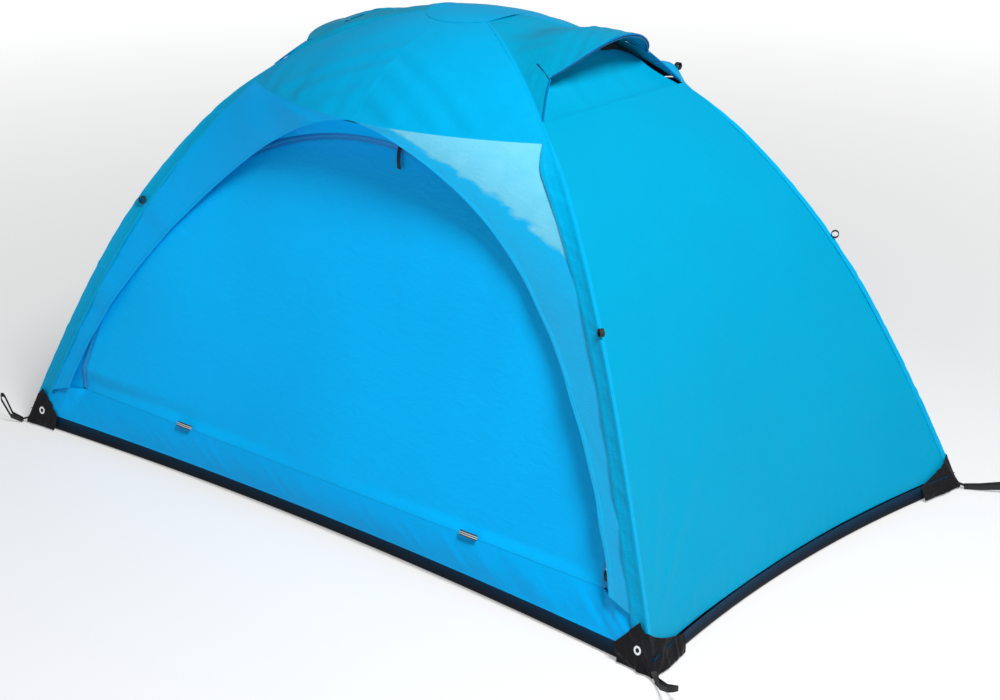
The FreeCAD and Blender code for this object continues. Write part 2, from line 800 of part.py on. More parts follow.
def slot_sketch(body, name, length, width, shrink=0.0):
    """A round-ended outline along +X from a centre on the origin; shrink takes it in all round."""
    sketch = new_sketch(body, name)
    radius = width / 2 - shrink
    span = length - width
    top, bottom = Vector(0, 0, 1), math.pi / 2
    near = Part.ArcOfCircle(Part.Circle(Vector(0, 0, 0), top, radius), bottom, 3 * bottom)
    far = Part.ArcOfCircle(Part.Circle(Vector(span, 0, 0), top, radius), -bottom, bottom)
    near, far = sketch.addGeometry(near), sketch.addGeometry(far)
    upper = sketch.addGeometry(Part.LineSegment(Vector(0, radius, 0), Vector(span, radius, 0)))
    lower = sketch.addGeometry(Part.LineSegment(Vector(0, -radius, 0), Vector(span, -radius, 0)))
    constrain(sketch, "Coincident", near, 3, -1, 1)
    constrain(sketch, "PointOnObject", far, 3, -1)
    constrain(sketch, "Tangent", near, 1, upper, 1)
    constrain(sketch, "Tangent", near, 2, lower, 1)
    constrain(sketch, "Tangent", far, 1, lower, 2)
    constrain(sketch, "Tangent", far, 2, upper, 2)
    constrain(sketch, "Radius", near, radius)
    constrain(sketch, "DistanceX", -1, 1, far, 3, span)
    return sketch


def pull(node, angle, length):
    """A webbing pull that hangs from the slider's peg and swings about it."""
    body = doc.addObject("PartDesign::Body", node)
    sketch = slot_sketch(body, node + "_outline", length, size("pull_width"))
    eye = sketch.addGeometry(Part.Circle(Vector(0, 0, 0), Vector(0, 0, 1), 1.5))
    constrain(sketch, "Coincident", eye, 3, -1, 1)
    constrain(sketch, "Radius", eye, 1.5, words="Sizes.peg_radius + Sizes.peg_clearance")
    pad(body, sketch, "Sizes.pull_thickness")
    seat = half_zip + SLIDE_CLEARANCE + plate + 0.3
    hang = Placement(Vector(0, 0, 0), Rotation(Vector(0, 0, 1), -90))
    at_peg = Placement(door_point(angle).Base, door_place.Rotation)
    body.Placement = at_peg * Placement(Vector(0, 0, seat), Rotation()) * hang
    return keep(node, body)


UPPER_ANGLE, LOWER_ANGLE = 4.8, 83.5
slider("zip_slider_upper", UPPER_ANGLE)
slider("zip_slider_lower", LOWER_ANGLE)
pull("zip_pull_upper", UPPER_ANGLE, size("pull_length"))
pull("zip_pull_lower", LOWER_ANGLE, size("short_pull_length"))

# ---------------------------------------------------------------- corners
EYELET_HEIGHT, EYELET_IN, BARREL_WALL = 45.0, 34.0, 1.5
BARREL_REACH = cloth + size("patch_gap") + size("patch_cloth") + 0.6
FLANGE = 1.2


def patch_wing(point_at, side_x, side_y, along_x):
    """One wing of a corner patch, over the panel that point_at describes."""
    grid = []
    for share in steps(0, 1, 9):
        height = 2.0 + (size("patch_height") - 2.0) * share
        wide = 10.0 + size("patch_reach") * (1 - share) ** 1.5
        x_corner, y_corner = spread(height)
        corner = x_corner if along_x else y_corner
        row = []
        for step in steps(0, 1, 7):
            place = 1 - wide * step / corner
            if along_x:
                row.append(point_at(height, side_x * place, side_y))
            else:
                row.append(point_at(height, side_y * place, side_x))
        grid.append(row)
    return sheet_solid(grid, size("patch_cloth"), lift=size("patch_gap") + size("patch_cloth"))


def eyelet_axis(side_x, side_y):
    """Where a corner's eyelet goes through the front or back, and the way it faces."""
    u = side_x * (1 - EYELET_IN / spread(EYELET_HEIGHT)[0])
    here = long_side_point(EYELET_HEIGHT, u, side_y)
    up = long_side_point(EYELET_HEIGHT + 10, u, side_y) - here
    along = long_side_point(EYELET_HEIGHT, u - side_x * 0.01, side_y) - here
    normal = up.cross(along)
    normal.normalize()
    if normal.y * side_y < 0:
        normal = normal * -1
    return here, normal


patches, eyelets, loops = [], [], []
for side_x, side_y in ((-1, -1), (1, -1), (1, 1), (-1, 1)):
    here, normal = eyelet_axis(side_x, side_y)
    barrel = size("grommet_bore") + BARREL_WALL
    hole = Part.makeCylinder(barrel + 0.2, 30.0, here - normal * 15, normal)
    patches.append(patch_wing(long_side_point, side_x, side_y, True).cut(hole))
    patches.append(patch_wing(end_point, side_x, side_y, False))
    if side_y < 0:
        front_sill = front_sill.cut(hole)
    else:
        back_wall = back_wall.cut(hole)
    outside = here + normal * (BARREL_REACH - cloth)
    tube = Part.makeCylinder(barrel, BARREL_REACH, outside, normal * -1)
    flange = Part.makeCylinder(size("grommet_flange"), FLANGE, outside, normal)
    bore = Part.makeCylinder(size("grommet_bore"), 30.0, here - normal * 15, normal)
    eyelets.append(tube.fuse(flange).cut(bore))
keep_shape("front_sill", [front_sill])
keep_shape("back_wall", [back_wall])
keep_shape("corner_patches", patches)
keep_shape("corner_eyelets", eyelets)

LOOP_START = 9.0
WORDS = {(-1, -1): "front_left", (1, -1): "front_right", (1, 1): "back_right", (-1, 1): "back_left"}
for (side_x, side_y), word in WORDS.items():
    body = doc.addObject("PartDesign::Body", f"stake_loop_{word}")
    length, width = size("loop_length"), size("loop_width")
    outline = slot_sketch(body, f"loop_{word}_outside", length, width)
    pad(body, outline, "Sizes.webbing_width")
    doc.recompute()
    hole = slot_sketch(body, f"loop_{word}_inside", length, width, size("webbing"))
    cut = body.newObject("PartDesign::Pocket", f"loop_{word}_pocket")
    cut.Profile = hole
    cut.Type = 1
    cut.Reversed = True
    angle = math.atan2(side_y * math.sin(diagonal), side_x * math.cos(diagonal))
    start = half_diagonal + LOOP_START + size("loop_width") / 2
    body.Placement = Placement(
        Vector(start * math.cos(angle), start * math.sin(angle), 0.0),
        Rotation(Vector(0, 0, 1), math.degrees(angle)),
    )
    keep(f"stake_loop_{word}", body)

# Guy-line loops stand on the seams over the poles, and a pair at the back brow.
GUY_RING, GUY_WEB = 9.0, 1.3
guys = []
guy_x, guy_y = spread(size("guy_height"))
for side_x in (-1, 1):
    for side_y in (-1, 1):
        out = Vector(side_x * math.cos(diagonal), side_y * math.sin(diagonal), 0.35)
        out.normalize()
        seam_point = Vector(side_x * guy_x, side_y * guy_y, size("guy_height"))
        seat = seam_point + out * (GUY_RING + GUY_WEB + 1.0)
        side = Vector(-out.y, out.x, 0)
        guys.append(Part.makeTorus(GUY_RING, GUY_WEB, seat, side))
    brow_seat = long_side_point(brow_height + 8, side_x * 0.62, 1) + Vector(0, 11.0, 7.0)
    guys.append(Part.makeTorus(GUY_RING, GUY_WEB, brow_seat, Vector(1, 0, 0)))
keep_shape("guy_loops", guys)

# Two reflective tabs lie on the sill under the door, and hold the rolled door.
TAB_X, TAB_LENGTH, TAB_WIDTH = 474.0, 50.0, 12.0
tabs = []
for side_x in (-1, 1):
    grid = []
    tab_top = sill_top - 1.0
    corner = spread(tab_top)[0]
    for height in steps(tab_top - TAB_WIDTH, tab_top, 4):
        row = steps(TAB_X - TAB_LENGTH / 2, TAB_X + TAB_LENGTH / 2, 5)
        grid.append([long_side_point(height, side_x * x / corner, -1) for x in row])
    tabs.append(sheet_solid(grid, 1.2, lift=1.5))
keep_shape("sill_tabs", tabs)

# ---------------------------------------------------------------- check and write
doc.recompute()
for thing in doc.Objects:
    bad = [state for state in thing.State if state in ("Invalid", "Error")]
    if bad:
        raise RuntimeError(f"{thing.Name} is {bad}")
for thing in parts:
    shape = thing.Shape
    if shape.isNull() or not shape.isValid() or not shape.Solids:
        raise RuntimeError(f"{thing.Label} has no valid solid")
for thing in parts:
    thing.Shape.exportStep(f"parts/{thing.Label}.step")
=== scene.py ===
"""A blue two-person dome tent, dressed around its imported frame. Metres, +Z up, the door towards -Y."""

import math

import bpy
import numpy as np
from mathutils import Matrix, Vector, noise


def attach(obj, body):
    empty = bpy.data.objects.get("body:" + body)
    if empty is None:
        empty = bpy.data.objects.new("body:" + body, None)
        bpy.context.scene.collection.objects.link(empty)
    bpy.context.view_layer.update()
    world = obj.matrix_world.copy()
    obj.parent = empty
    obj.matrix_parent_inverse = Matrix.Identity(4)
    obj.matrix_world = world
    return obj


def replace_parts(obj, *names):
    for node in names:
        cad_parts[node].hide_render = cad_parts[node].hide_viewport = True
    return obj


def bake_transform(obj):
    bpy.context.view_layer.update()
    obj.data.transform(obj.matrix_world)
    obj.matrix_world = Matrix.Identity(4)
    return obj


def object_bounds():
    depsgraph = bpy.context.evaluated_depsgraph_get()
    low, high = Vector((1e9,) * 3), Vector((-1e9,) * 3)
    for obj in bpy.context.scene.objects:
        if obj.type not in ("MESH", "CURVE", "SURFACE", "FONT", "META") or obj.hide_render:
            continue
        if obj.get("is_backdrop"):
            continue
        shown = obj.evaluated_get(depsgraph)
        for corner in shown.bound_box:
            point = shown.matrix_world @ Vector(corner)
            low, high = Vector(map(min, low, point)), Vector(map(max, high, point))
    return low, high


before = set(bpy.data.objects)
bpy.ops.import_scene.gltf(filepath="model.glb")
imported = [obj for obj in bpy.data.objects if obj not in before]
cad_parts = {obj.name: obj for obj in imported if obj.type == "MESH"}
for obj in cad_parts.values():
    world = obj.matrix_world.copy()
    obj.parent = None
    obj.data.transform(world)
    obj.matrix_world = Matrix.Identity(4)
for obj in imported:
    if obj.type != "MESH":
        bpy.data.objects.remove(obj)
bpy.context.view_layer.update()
bpy.ops.object.select_all(action="DESELECT")

# ------------------------------------------------------------------ camera, floor and light
# A long lens looks down on the right front corner. The tent stands on a plain white floor under two
# large soft lamps, a high key from the right and a weak fill from the left, in an even pale room.
scene = bpy.context.scene
scene.view_settings.view_transform = "Standard"
camera_data = bpy.data.cameras.new("camera")
camera_data.lens, camera_data.sensor_width = 74.3, 36.0
camera = bpy.data.objects.new("camera", camera_data)
camera.location = (3.2331, -3.6324, 2.1277)
camera.rotation_euler = Vector((-0.61277, 0.70642, -0.35424)).to_track_quat("-Z", "Y").to_euler()
scene.collection.objects.link(camera)
scene.camera = camera

world = bpy.data.worlds.new("studio")
world.use_nodes = True
world.node_tree.nodes["Background"].inputs["Color"].default_value = (0.95, 0.97, 1.0, 1)
world.node_tree.nodes["Background"].inputs["Strength"].default_value = 0.21
scene.world = world


def lamp(name, place, target, size, power):
    data = bpy.data.lights.new(name, "AREA")
    data.shape, data.size, data.energy = "DISK", size, power
    thing = bpy.data.objects.new(name, data)
    thing.location = place
    thing.rotation_euler = (Vector(target) - Vector(place)).to_track_quat("-Z", "Y").to_euler()
    scene.collection.objects.link(thing)


lamp("key", (3.3, -1.3, 4.5), (0, 0, 0.5), 1.5, 320)
lamp("fill", (-3.4, -4.6, 1.6), (0, 0, 0.4), 3.0, 12)


# ------------------------------------------------------------------ shader and mesh helpers
# Nylon, webbing, alloy and plastic are all written with the same few words.
class Wire:
    """A socket that can be added, multiplied and compared; each operation adds one node."""

    def __init__(self, graph, socket):
        self.graph, self.socket = graph, socket

    def math(self, operation, *others):
        values = {number: other for number, other in enumerate(others, start=1)}
        return self.graph.node("ShaderNodeMath", {"operation": operation}, {0: self, **values})

    def __add__(self, other):
        return self.math("ADD", other)

    def __radd__(self, other):
        return self.math("ADD", other)

    def __sub__(self, other):
        return self.math("SUBTRACT", other)

    def __mul__(self, other):
        return self.math("MULTIPLY", other)

    def __rmul__(self, other):
        return self.math("MULTIPLY", other)

    def __truediv__(self, other):
        return self.math("DIVIDE", other)

    def __lt__(self, other):
        return self.math("LESS_THAN", other)

    def sin(self):
        return self.math("SINE")

    def abs(self):
        return self.math("ABSOLUTE")

    def power(self, other):
        return self.math("POWER", other)

    def axis(self, letter):
        parts = self.graph.node("ShaderNodeSeparateXYZ", {}, {0: self}, output=None)
        return Wire(self.graph, parts.outputs[letter])


class Graph:
    """A material with one Principled shader."""

    def __init__(self, name, color, roughness, metallic=0.0):
        self.material = bpy.data.materials.new(name)
        self.material.use_nodes = True
        self.tree = self.material.node_tree
        self.shader = self.tree.nodes["Principled BSDF"]
        self.set("Base Color", (*color, 1))
        self.set("Roughness", roughness)
        self.set("Metallic", metallic)

    def set(self, socket, value):
        if isinstance(value, Wire):
            self.tree.links.new(value.socket, self.shader.inputs[socket])
        else:
            self.shader.inputs[socket].default_value = value

    def node(self, kind, settings, values, output=0):
        made = self.tree.nodes.new(kind)
        for word, value in settings.items():
            setattr(made, word, value)
        for socket, value in values.items():
            if isinstance(value, Wire):
                self.tree.links.new(value.socket, made.inputs[socket])
            else:
                made.inputs[socket].default_value = value
        return made if output is None else Wire(self, made.outputs[output])

    def place(self):
        return self.node("ShaderNodeTexCoord", {}, {}, output="Object")

    def cloth_uv(self):
        return self.node("ShaderNodeUVMap", {"uv_map": "UVMap"}, {})

    def stretch(self, vector, scale, turn=(0, 0, 0)):
        return self.node("ShaderNodeMapping", {}, {"Vector": vector, "Scale": scale, "Rotation": turn})

    def clouds(self, vector, scale, detail=2.0, roughness=0.5, distortion=0.0):
        values = {"Vector": vector, "Scale": scale, "Detail": detail, "Roughness": roughness,
                  "Distortion": distortion}
        return self.node("ShaderNodeTexNoise", {}, values)

    def blend(self, share, color_a, color_b):
        made = self.node("ShaderNodeMix", {"data_type": "RGBA"}, {}, output=None)
        for socket, value in ((0, share), (6, color_a), (7, color_b)):
            if isinstance(value, Wire):
                self.tree.links.new(value.socket, made.inputs[socket])
            else:
                made.inputs[socket].default_value = value if socket == 0 else (*value, 1)
        return Wire(self, made.outputs[2])

    def bump(self, height, strength, distance):
        normal = self.node(
            "ShaderNodeBump", {}, {"Height": height, "Strength": strength, "Distance": distance}
        )
        self.set("Normal", normal)


def finish_mesh(thing, smooth=True):
    """Select one object alone and shade it."""
    bpy.ops.object.select_all(action="DESELECT")
    thing.select_set(True)
    bpy.context.view_layer.objects.active = thing
    if smooth:
        bpy.ops.object.shade_smooth()


def apply_modifiers(thing):
    finish_mesh(thing, smooth=False)
    for modifier in list(thing.modifiers):
        bpy.ops.object.modifier_apply(modifier=modifier.name)


def points_of(thing):
    flat = np.zeros(len(thing.data.vertices) * 3)
    thing.data.vertices.foreach_get("co", flat)
    return flat.reshape(-1, 3)


def move_points(thing, points):
    thing.data.vertices.foreach_set("co", np.asarray(points, float).ravel())
    thing.data.update()


def face_out(thing, inside=(0, 0, 0.35)):
    """Turn a sheet's faces away from a point inside the tent."""
    total = sum((f.normal.dot(f.center - Vector(inside)) * f.area for f in thing.data.polygons))
    if total < 0:
        thing.data.flip_normals()


def thicken(thing, depth=0.0009):
    """Give a sheet its thickness, inwards from the face, and smooth its shading."""
    solidify = thing.modifiers.new("cloth", "SOLIDIFY")
    solidify.thickness, solidify.offset = depth, -1.0
    apply_modifiers(thing)
    finish_mesh(thing)
    bpy.ops.object.shade_smooth_by_angle(angle=math.radians(50))


def area_of(thing):
    return sum(face.area for face in thing.data.polygons)


def cloth(thing, body, material, inside=(0, 0, 0.35), depth=0.0009):
    """Finish a sheet of cloth: its outside, its thickness, its material and its body."""
    face_out(thing, inside)
    area = area_of(thing)
    width, length = thing["cut"]
    thicken(thing, depth)
    thing.data.materials.append(material)
    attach(thing, body)
    area = min(max(area, 0.31 * width * length), 0.999 * width * length)
    return thing


# ------------------------------------------------------------------ the tent's form
# Each long pole is seven equal arcs that meet in line. The fabric over them makes four straight seams
# in plan, from the corners to the crown, and every panel is stretched between two of those seams.
FLOOR_LENGTH, FLOOR_WIDTH = 2.080, 1.247
CROWN = 1.150
TURN_SHARES = (6, 16, 27, 36, 27, 16, 6)
BROW_DROP, BROW_REACH = 0.190, 0.420
HEM_HEIGHT, SILL_HEIGHT = 0.042, 0.125
HEM_CUT_SIDE, HEM_CUT_END = 0.050, 0.055  # how far the hems curve in between the corners
HALF_DIAGONAL = math.hypot(FLOOR_LENGTH, FLOOR_WIDTH) / 2
COS_DIAGONAL = FLOOR_LENGTH / 2 / HALF_DIAGONAL
SIN_DIAGONAL = FLOOR_WIDTH / 2 / HALF_DIAGONAL
BROW = CROWN - BROW_DROP


def arch_line(foot_angle, per_arc=60):
    """Points of one leg for unit arcs, from the foot to the crown, as (out, up)."""
    heading, point, points = foot_angle, np.zeros(2), [np.zeros(2)]
    for number, share in enumerate(TURN_SHARES[:4]):
        turn = 2 * foot_angle * share / sum(TURN_SHARES) / per_arc
        for _ in range(per_arc if number < 3 else per_arc // 2):
            heading -= turn / 2
            point = point + np.array((math.cos(heading), math.sin(heading))) / per_arc
            heading -= turn / 2
            points.append(point)
    return np.array(points)


low_angle, high_angle = math.radians(20), math.radians(89)
for _ in range(50):
    foot_angle = (low_angle + high_angle) / 2
    leg = arch_line(foot_angle)
    if leg[-1, 1] / leg[-1, 0] < CROWN / HALF_DIAGONAL:
        low_angle = foot_angle
    else:
        high_angle = foot_angle
leg = leg * HALF_DIAGONAL / leg[-1, 0]
LEG_OUT, LEG_UP = HALF_DIAGONAL - leg[:, 0], leg[:, 1]


def out_at(height):
    """Distance of a corner seam from the tent's axis at a height."""
    return np.interp(height, LEG_UP, LEG_OUT)


def up_at(distance):
    """Height of a corner seam at a distance from the tent's axis."""
    return np.interp(distance, LEG_OUT[::-1], LEG_UP[::-1])


def rising(low, high, share):
    """Heights evenly spaced along the pole between two heights."""
    along = np.linspace(0, 1, len(LEG_UP))
    place_low, place_high = np.interp((low, high), LEG_UP, along)
    return np.interp(place_low + (place_high - place_low) * share, along, LEG_UP)


def eased(value, knots):
    """A smooth curve through a few (place, value) pairs."""
    places, values = np.array(knots, float).T
    slopes = np.gradient(values, places)
    value = np.clip(value, places[0], places[-1])
    number = np.clip(np.searchsorted(places, value, side="right") - 1, 0, len(places) - 2)
    gap = places[number + 1] - places[number]
    t = (value - places[number]) / gap
    return ((1 + 2 * t) * (1 - t) ** 2 * values[number] + t * (1 - t) ** 2 * gap * slopes[number]
            + t * t * (3 - 2 * t) * values[number + 1] + t * t * (t - 1) * gap * slopes[number + 1])


BROW_RADIUS = (BROW_REACH**2 + BROW_DROP**2) / (2 * BROW_DROP)
BROW_SAG = float(out_at(BROW)) * SIN_DIAGONAL - BROW_REACH


def ridge_reach(height):
    """How far out the fabric over the short ridge pole is at a height above the brow."""
    drop = CROWN - height
    return np.sqrt(np.maximum(BROW_RADIUS**2 - (BROW_RADIUS - drop) ** 2, 0))


def long_side(height, u, side, knots):
    """A point of the front (side -1) or back (+1): u runs from -1 to 1 between the corner seams."""
    out = out_at(height)
    half = out * SIN_DIAGONAL
    sag = np.where(height > BROW, half - ridge_reach(height), eased(height, knots))
    return np.stack([u * out * COS_DIAGONAL, side * (half - sag * (1 - u * u)), height], axis=-1)


FRONT_SAGS = (
    (0, HEM_CUT_SIDE), (0.125, 0.022), (0.43, 0.045), (0.60, 0.045), (0.72, 0.005), (BROW, BROW_SAG)
)
BACK_SAGS = ((0, HEM_CUT_SIDE), (0.40, 0.025), (0.60, -0.012), (0.72, -0.042), (BROW, BROW_SAG))
TIP_OUT = 0.500
TIP_HEIGHT = float(up_at(TIP_OUT))
END_SAGS = ((0, HEM_CUT_END), (0.45 * TIP_HEIGHT, 0.028), (TIP_HEIGHT, 0.0))


def front(height, u):
    """A point of the front, from -1 at the left seam to 1 at the right."""
    return long_side(height, u, -1, FRONT_SAGS)


def back(height, u):
    """A point of the back, from -1 at the left seam to 1 at the right."""
    return long_side(height, u, 1, BACK_SAGS)


def end(height, v, side):
    """A point of the left (side -1) or right end: v runs from -1 at the front to 1 at the back."""
    out = out_at(height)
    sag = eased(height, END_SAGS)
    return np.stack([side * (out * COS_DIAGONAL - sag * (1 - v * v)), v * out * SIN_DIAGONAL, height],
                    axis=-1)


def rumple(points, scale, stretch=(1, 1, 1), seed=0.0):
    """Smooth noise from -1 to 1 at each point."""
    return np.array([
        noise.noise(Vector((x * stretch[0], y * stretch[1], z * stretch[2])) * scale + Vector((seed,) * 3))
        for x, y, z in points
    ])


def outward(table, inside):
    """Unit normals of a grid of points, pointing away from a place inside the tent."""
    normal = np.cross(np.gradient(table, axis=1), np.gradient(table, axis=0))
    normal /= np.maximum(np.linalg.norm(normal, axis=2, keepdims=True), 1e-9)
    facing = np.sum(normal * (table - np.array(inside)), axis=2)
    return normal * np.where(facing.sum() < 0, -1.0, 1.0)


def grid_sheet(name, columns, rows, place, lift=None, inside=(0, 0, 0.35)):
    """A cloth grid, each point put by place(across, up) with both from 0 to 1, then moved outwards by
    lift(across, up, points). Its UVs are in metres."""
    bpy.ops.mesh.primitive_grid_add(x_subdivisions=columns, y_subdivisions=rows, size=1)
    thing = bpy.context.object
    thing.name = thing.data.name = name
    share = np.clip(points_of(thing)[:, :2] + 0.5, 0, 1)
    across, up = share[:, 0], share[:, 1]
    points = place(across, up)
    table = points.reshape(rows + 1, columns + 1, 3)
    if lift is not None:
        amount = lift(across, up, points)
        points = points + outward(table, inside).reshape(-1, 3) * np.asarray(amount)[:, None]
    move_points(thing, points)
    width = np.linalg.norm(np.diff(table, axis=1), axis=2).sum(1).max()
    length = np.linalg.norm(np.diff(table, axis=0), axis=2).sum(0).max()
    layer = thing.data.uv_layers.active.data
    flat = np.zeros(len(layer) * 2)
    layer.foreach_get("uv", flat)
    layer.foreach_set("uv", (flat.reshape(-1, 2) * (width, length)).ravel())
    thing["cut"] = (float(width), float(length))
    return thing


def smoothly(low, high, value):
    """0 at low, 1 at high and smooth between them; low may be the larger."""
    share = np.clip((value - low) / (high - low), 0, 1)
    return share * share * (3 - 2 * share)


def waves(value, step, seed):
    """A smooth random wave along a line, from -1 to 1, about one swing for each step."""
    table = np.random.default_rng(seed).uniform(-1, 1, 4096)
    place = np.asarray(value) / step + 1024
    low = np.floor(place).astype(int)
    share = place - low
    share = share * share * (3 - 2 * share)
    return table[low % 4096] * (1 - share) + table[(low + 1) % 4096] * share


def puckers(along, away, reach, height, seed, step=0.016):
    """Small folds that run away from a sewn seam and die out over their reach."""
    wander = along + 0.35 * away * waves(along, 0.12, seed + 5)
    strength = 0.4 + 0.6 * np.abs(waves(along, 0.11, seed + 9))
    fold = waves(wander, step, seed) + 0.5 * waves(wander, step * 0.45, seed + 3)
    return height * strength * fold * np.exp(-away / reach) * smoothly(0, 0.004, away)


def dress(material, *nodes):
    """Give CAD nodes their finish."""
    for node in nodes:
        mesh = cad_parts[node].data
        mesh.materials.clear()
        mesh.materials.append(material)


def nylon(name, color, roughness=0.42, crinkle=1.0):
    """Coated ripstop nylon: a slight gloss, long faint creases and a very fine weave."""
    graph = Graph(name, color, roughness)
    place = graph.place()
    patchy = graph.clouds(place, 3.0, 3.0)
    graph.set("Base Color", graph.blend(patchy, [c * 0.93 for c in color], [min(c * 1.05, 1) for c in color]))
    graph.set("Roughness", roughness - 0.06 + 0.12 * graph.clouds(place, 9.0, 2.0))
    graph.set("Specular IOR Level", 0.06)
    creases = graph.clouds(graph.stretch(place, (1.0, 1.0, 2.2)), 26.0, 5.0, 0.62, 0.8)
    weave = graph.clouds(place, 420.0, 1.0)
    graph.bump(creases + 0.05 * weave, 0.35 * crinkle, 0.004)
    return graph.material


def webbing(name, color):
    """Woven tape with ribs across it."""
    graph = Graph(name, color, 0.75)
    rib = (graph.cloth_uv().axis("Y") * 1980.0).sin() * (graph.cloth_uv().axis("X") * 3600.0).sin()
    graph.bump(rib, 0.35, 0.0004)
    return graph.material


def metal(name, color, roughness):
    graph = Graph(name, color, roughness, 1.0)
    graph.set("Roughness", roughness - 0.05 + 0.1 * graph.clouds(graph.place(), 60.0, 2.0))
    return graph.material


# The tent is one blue fabric throughout, and its copies differ only by painted light and shade. The ends, the
# roofs over them and the hoods are darker and greener, and the front and back roofs are darker. That is
# painted shade, offsetting the key lamp's stronger light on them. The door is brighter, which is painted
# light offsetting the shade it stands in under the flap.
BLUE, END_BLUE_PAINTED_SHADE = (0.0, 0.385, 0.85), (0.0, 0.295, 0.50)
front_nylon = nylon("front nylon", BLUE)
end_nylon = nylon("end nylon", END_BLUE_PAINTED_SHADE)
roof_nylon = nylon("roof nylon", (0.0, 0.34, 0.63))
door_nylon = nylon("door nylon", (0.0, 0.435, 0.92), 0.5)
black_webbing = webbing("black webbing", (0.012, 0.012, 0.013))

# ------------------------------------------------------------------ groundsheet
# A tub of dark coated nylon: a flat floor whose edge stands up a little all round, cut in along the
# sides so that it stays tight between the corners. The rim fades from navy at its top to black below.
RIM_SHARE = 0.962


def tub_place(across, up):
    s, t = 2 * across - 1, 2 * up - 1
    reach = np.maximum(np.abs(s), np.abs(t))
    s, t = s / np.maximum(reach, 1e-9), t / np.maximum(reach, 1e-9)
    flat = np.minimum(reach / RIM_SHARE, 1) * 0.9935
    rise = np.maximum(reach - RIM_SHARE, 0) / (1 - RIM_SHARE)
    x = s * (FLOOR_LENGTH / 2 - 0.004 - HEM_CUT_END * (1 - t * t))
    y = t * (FLOOR_WIDTH / 2 - 0.004 - HEM_CUT_SIDE * (1 - s * s))
    scale = flat + 0.0035 * rise
    return np.stack([x * scale, y * scale, 0.0012 + 0.0412 * rise], axis=-1)


floor_graph = Graph("floor nylon", (0.001, 0.006, 0.016), 0.55)
rim_share = (floor_graph.place().axis("Z") / 0.040).math("MINIMUM", 1.0).math("MAXIMUM", 0.0).power(1.6)
floor_graph.set("Base Color", floor_graph.blend(rim_share, (0.0005, 0.002, 0.005), (0.001, 0.032, 0.075)))
floor_graph.set("Specular IOR Level", 0.05)
floor_graph.bump(floor_graph.clouds(floor_graph.place(), 60.0, 3.0), 0.3, 0.002)
floor = grid_sheet("groundsheet", 190, 130, tub_place)
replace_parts(floor, "floor_tub")
cloth(floor, "tent", floor_graph.material)

# ------------------------------------------------------------------ poles
# Two long poles cross at the crown and a short one lies over them from brow to brow. They are grey
# anodised alloy tube, joined by ferrules over elastic cord, with turned tips in the corner eyelets.
pole_metal = metal("anodised pole", (0.30, 0.31, 0.33), 0.32)
bright_metal = metal("bright metal", (0.78, 0.79, 0.80), 0.22)
dark_plastic = Graph("black plastic", (0.015, 0.015, 0.016), 0.42)
dark_plastic.bump(dark_plastic.clouds(dark_plastic.place(), 300.0), 0.1, 0.001)
elastic = Graph("elastic cord", (0.45, 0.45, 0.43), 0.8)
elastic.bump((elastic.place().axis("Z") * 2200.0).sin(), 0.3, 0.0003)
for name in ("lower", "upper"):
    dress(pole_metal, *[f"{name}_pole_section_{number}" for number in range(1, 8)])
dress(pole_metal, "ridge_pole_section_1", "ridge_pole_section_2")
dress(bright_metal, "lower_pole_ferrules", "upper_pole_ferrules", "ridge_pole_ferrules", "pole_tips")
dress(dark_plastic.material, "ridge_pole_caps", "pole_ties")
dress(elastic.material, "lower_pole_shock_cord", "upper_pole_shock_cord", "ridge_pole_shock_cord")

# ------------------------------------------------------------------ front sill
# The strip of blue nylon under the door, sewn to the tub at the hem and to the door's foot above.
# It is pulled tight between the corners, so fine diagonal folds run in from its right end.
HINGE_Y, HINGE_Z = -0.5632, SILL_HEIGHT
SEAM_IN = 0.0015


def sill_place(across, up):
    u = (2 * across - 1) * (1 - SEAM_IN)
    low, high = front(np.full_like(u, HEM_HEIGHT), u), front(np.full_like(u, SILL_HEIGHT), u)
    at_flap = smoothly(0.855, 0.905, np.abs(high[:, 0]))
    high[:, 1] = HINGE_Y * (1 - at_flap) + high[:, 1] * at_flap
    point = low + (high - low) * up[:, None]
    point[:, 1] -= 0.006 * np.sin(np.pi * up) * (1 - u**6)
    return point


def sill_lift(across, up, points):
    x, z = points[:, 0], points[:, 2]
    calm = np.minimum(smoothly(0, 0.03, 1 - np.abs(2 * across - 1)), 1)
    slanted = x * 0.9 + z * 1.3
    right = smoothly(0.25, 0.85, x)
    folds = 0.0022 * waves(slanted, 0.022, 3) * (0.35 + 0.65 * right) * np.sin(np.pi * np.clip(up, 0, 1))
    hem = puckers(x, z - HEM_HEIGHT, 0.02, 0.0010, 11)
    beside_door = smoothly(0.875, 0.905, np.abs(x)) * smoothly(0.985, 0.955, np.abs(x))
    under_flap = beside_door * smoothly(0.05, 0.105, z)
    return calm * (folds + hem + 0.0008 * (up < 0.06)) - 0.008 * under_flap


sill = grid_sheet("front_sill_cloth", 420, 26, sill_place, sill_lift)
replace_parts(sill, "front_sill")
cloth(sill, "tent", front_nylon)

# ------------------------------------------------------------------ back wall and ends
# Single panels of blue nylon from the hem up to the brow at the back, and up to the vents at the ends.
# Each is sewn to the next over a pole, and the seams draw small puckers into the cloth.


PULL_ACROSS, PULL_HEIGHT, PULL_OUT = 0.335, 0.985, 0.030


def brow_pull(points):
    """The back brow's guy loops draw the cloth out to a point at each side."""
    across = (np.abs(points[:, 0]) - PULL_ACROSS) / 0.055
    return PULL_OUT * np.exp(-(across**2) - ((points[:, 2] - PULL_HEIGHT) / 0.040) ** 2)


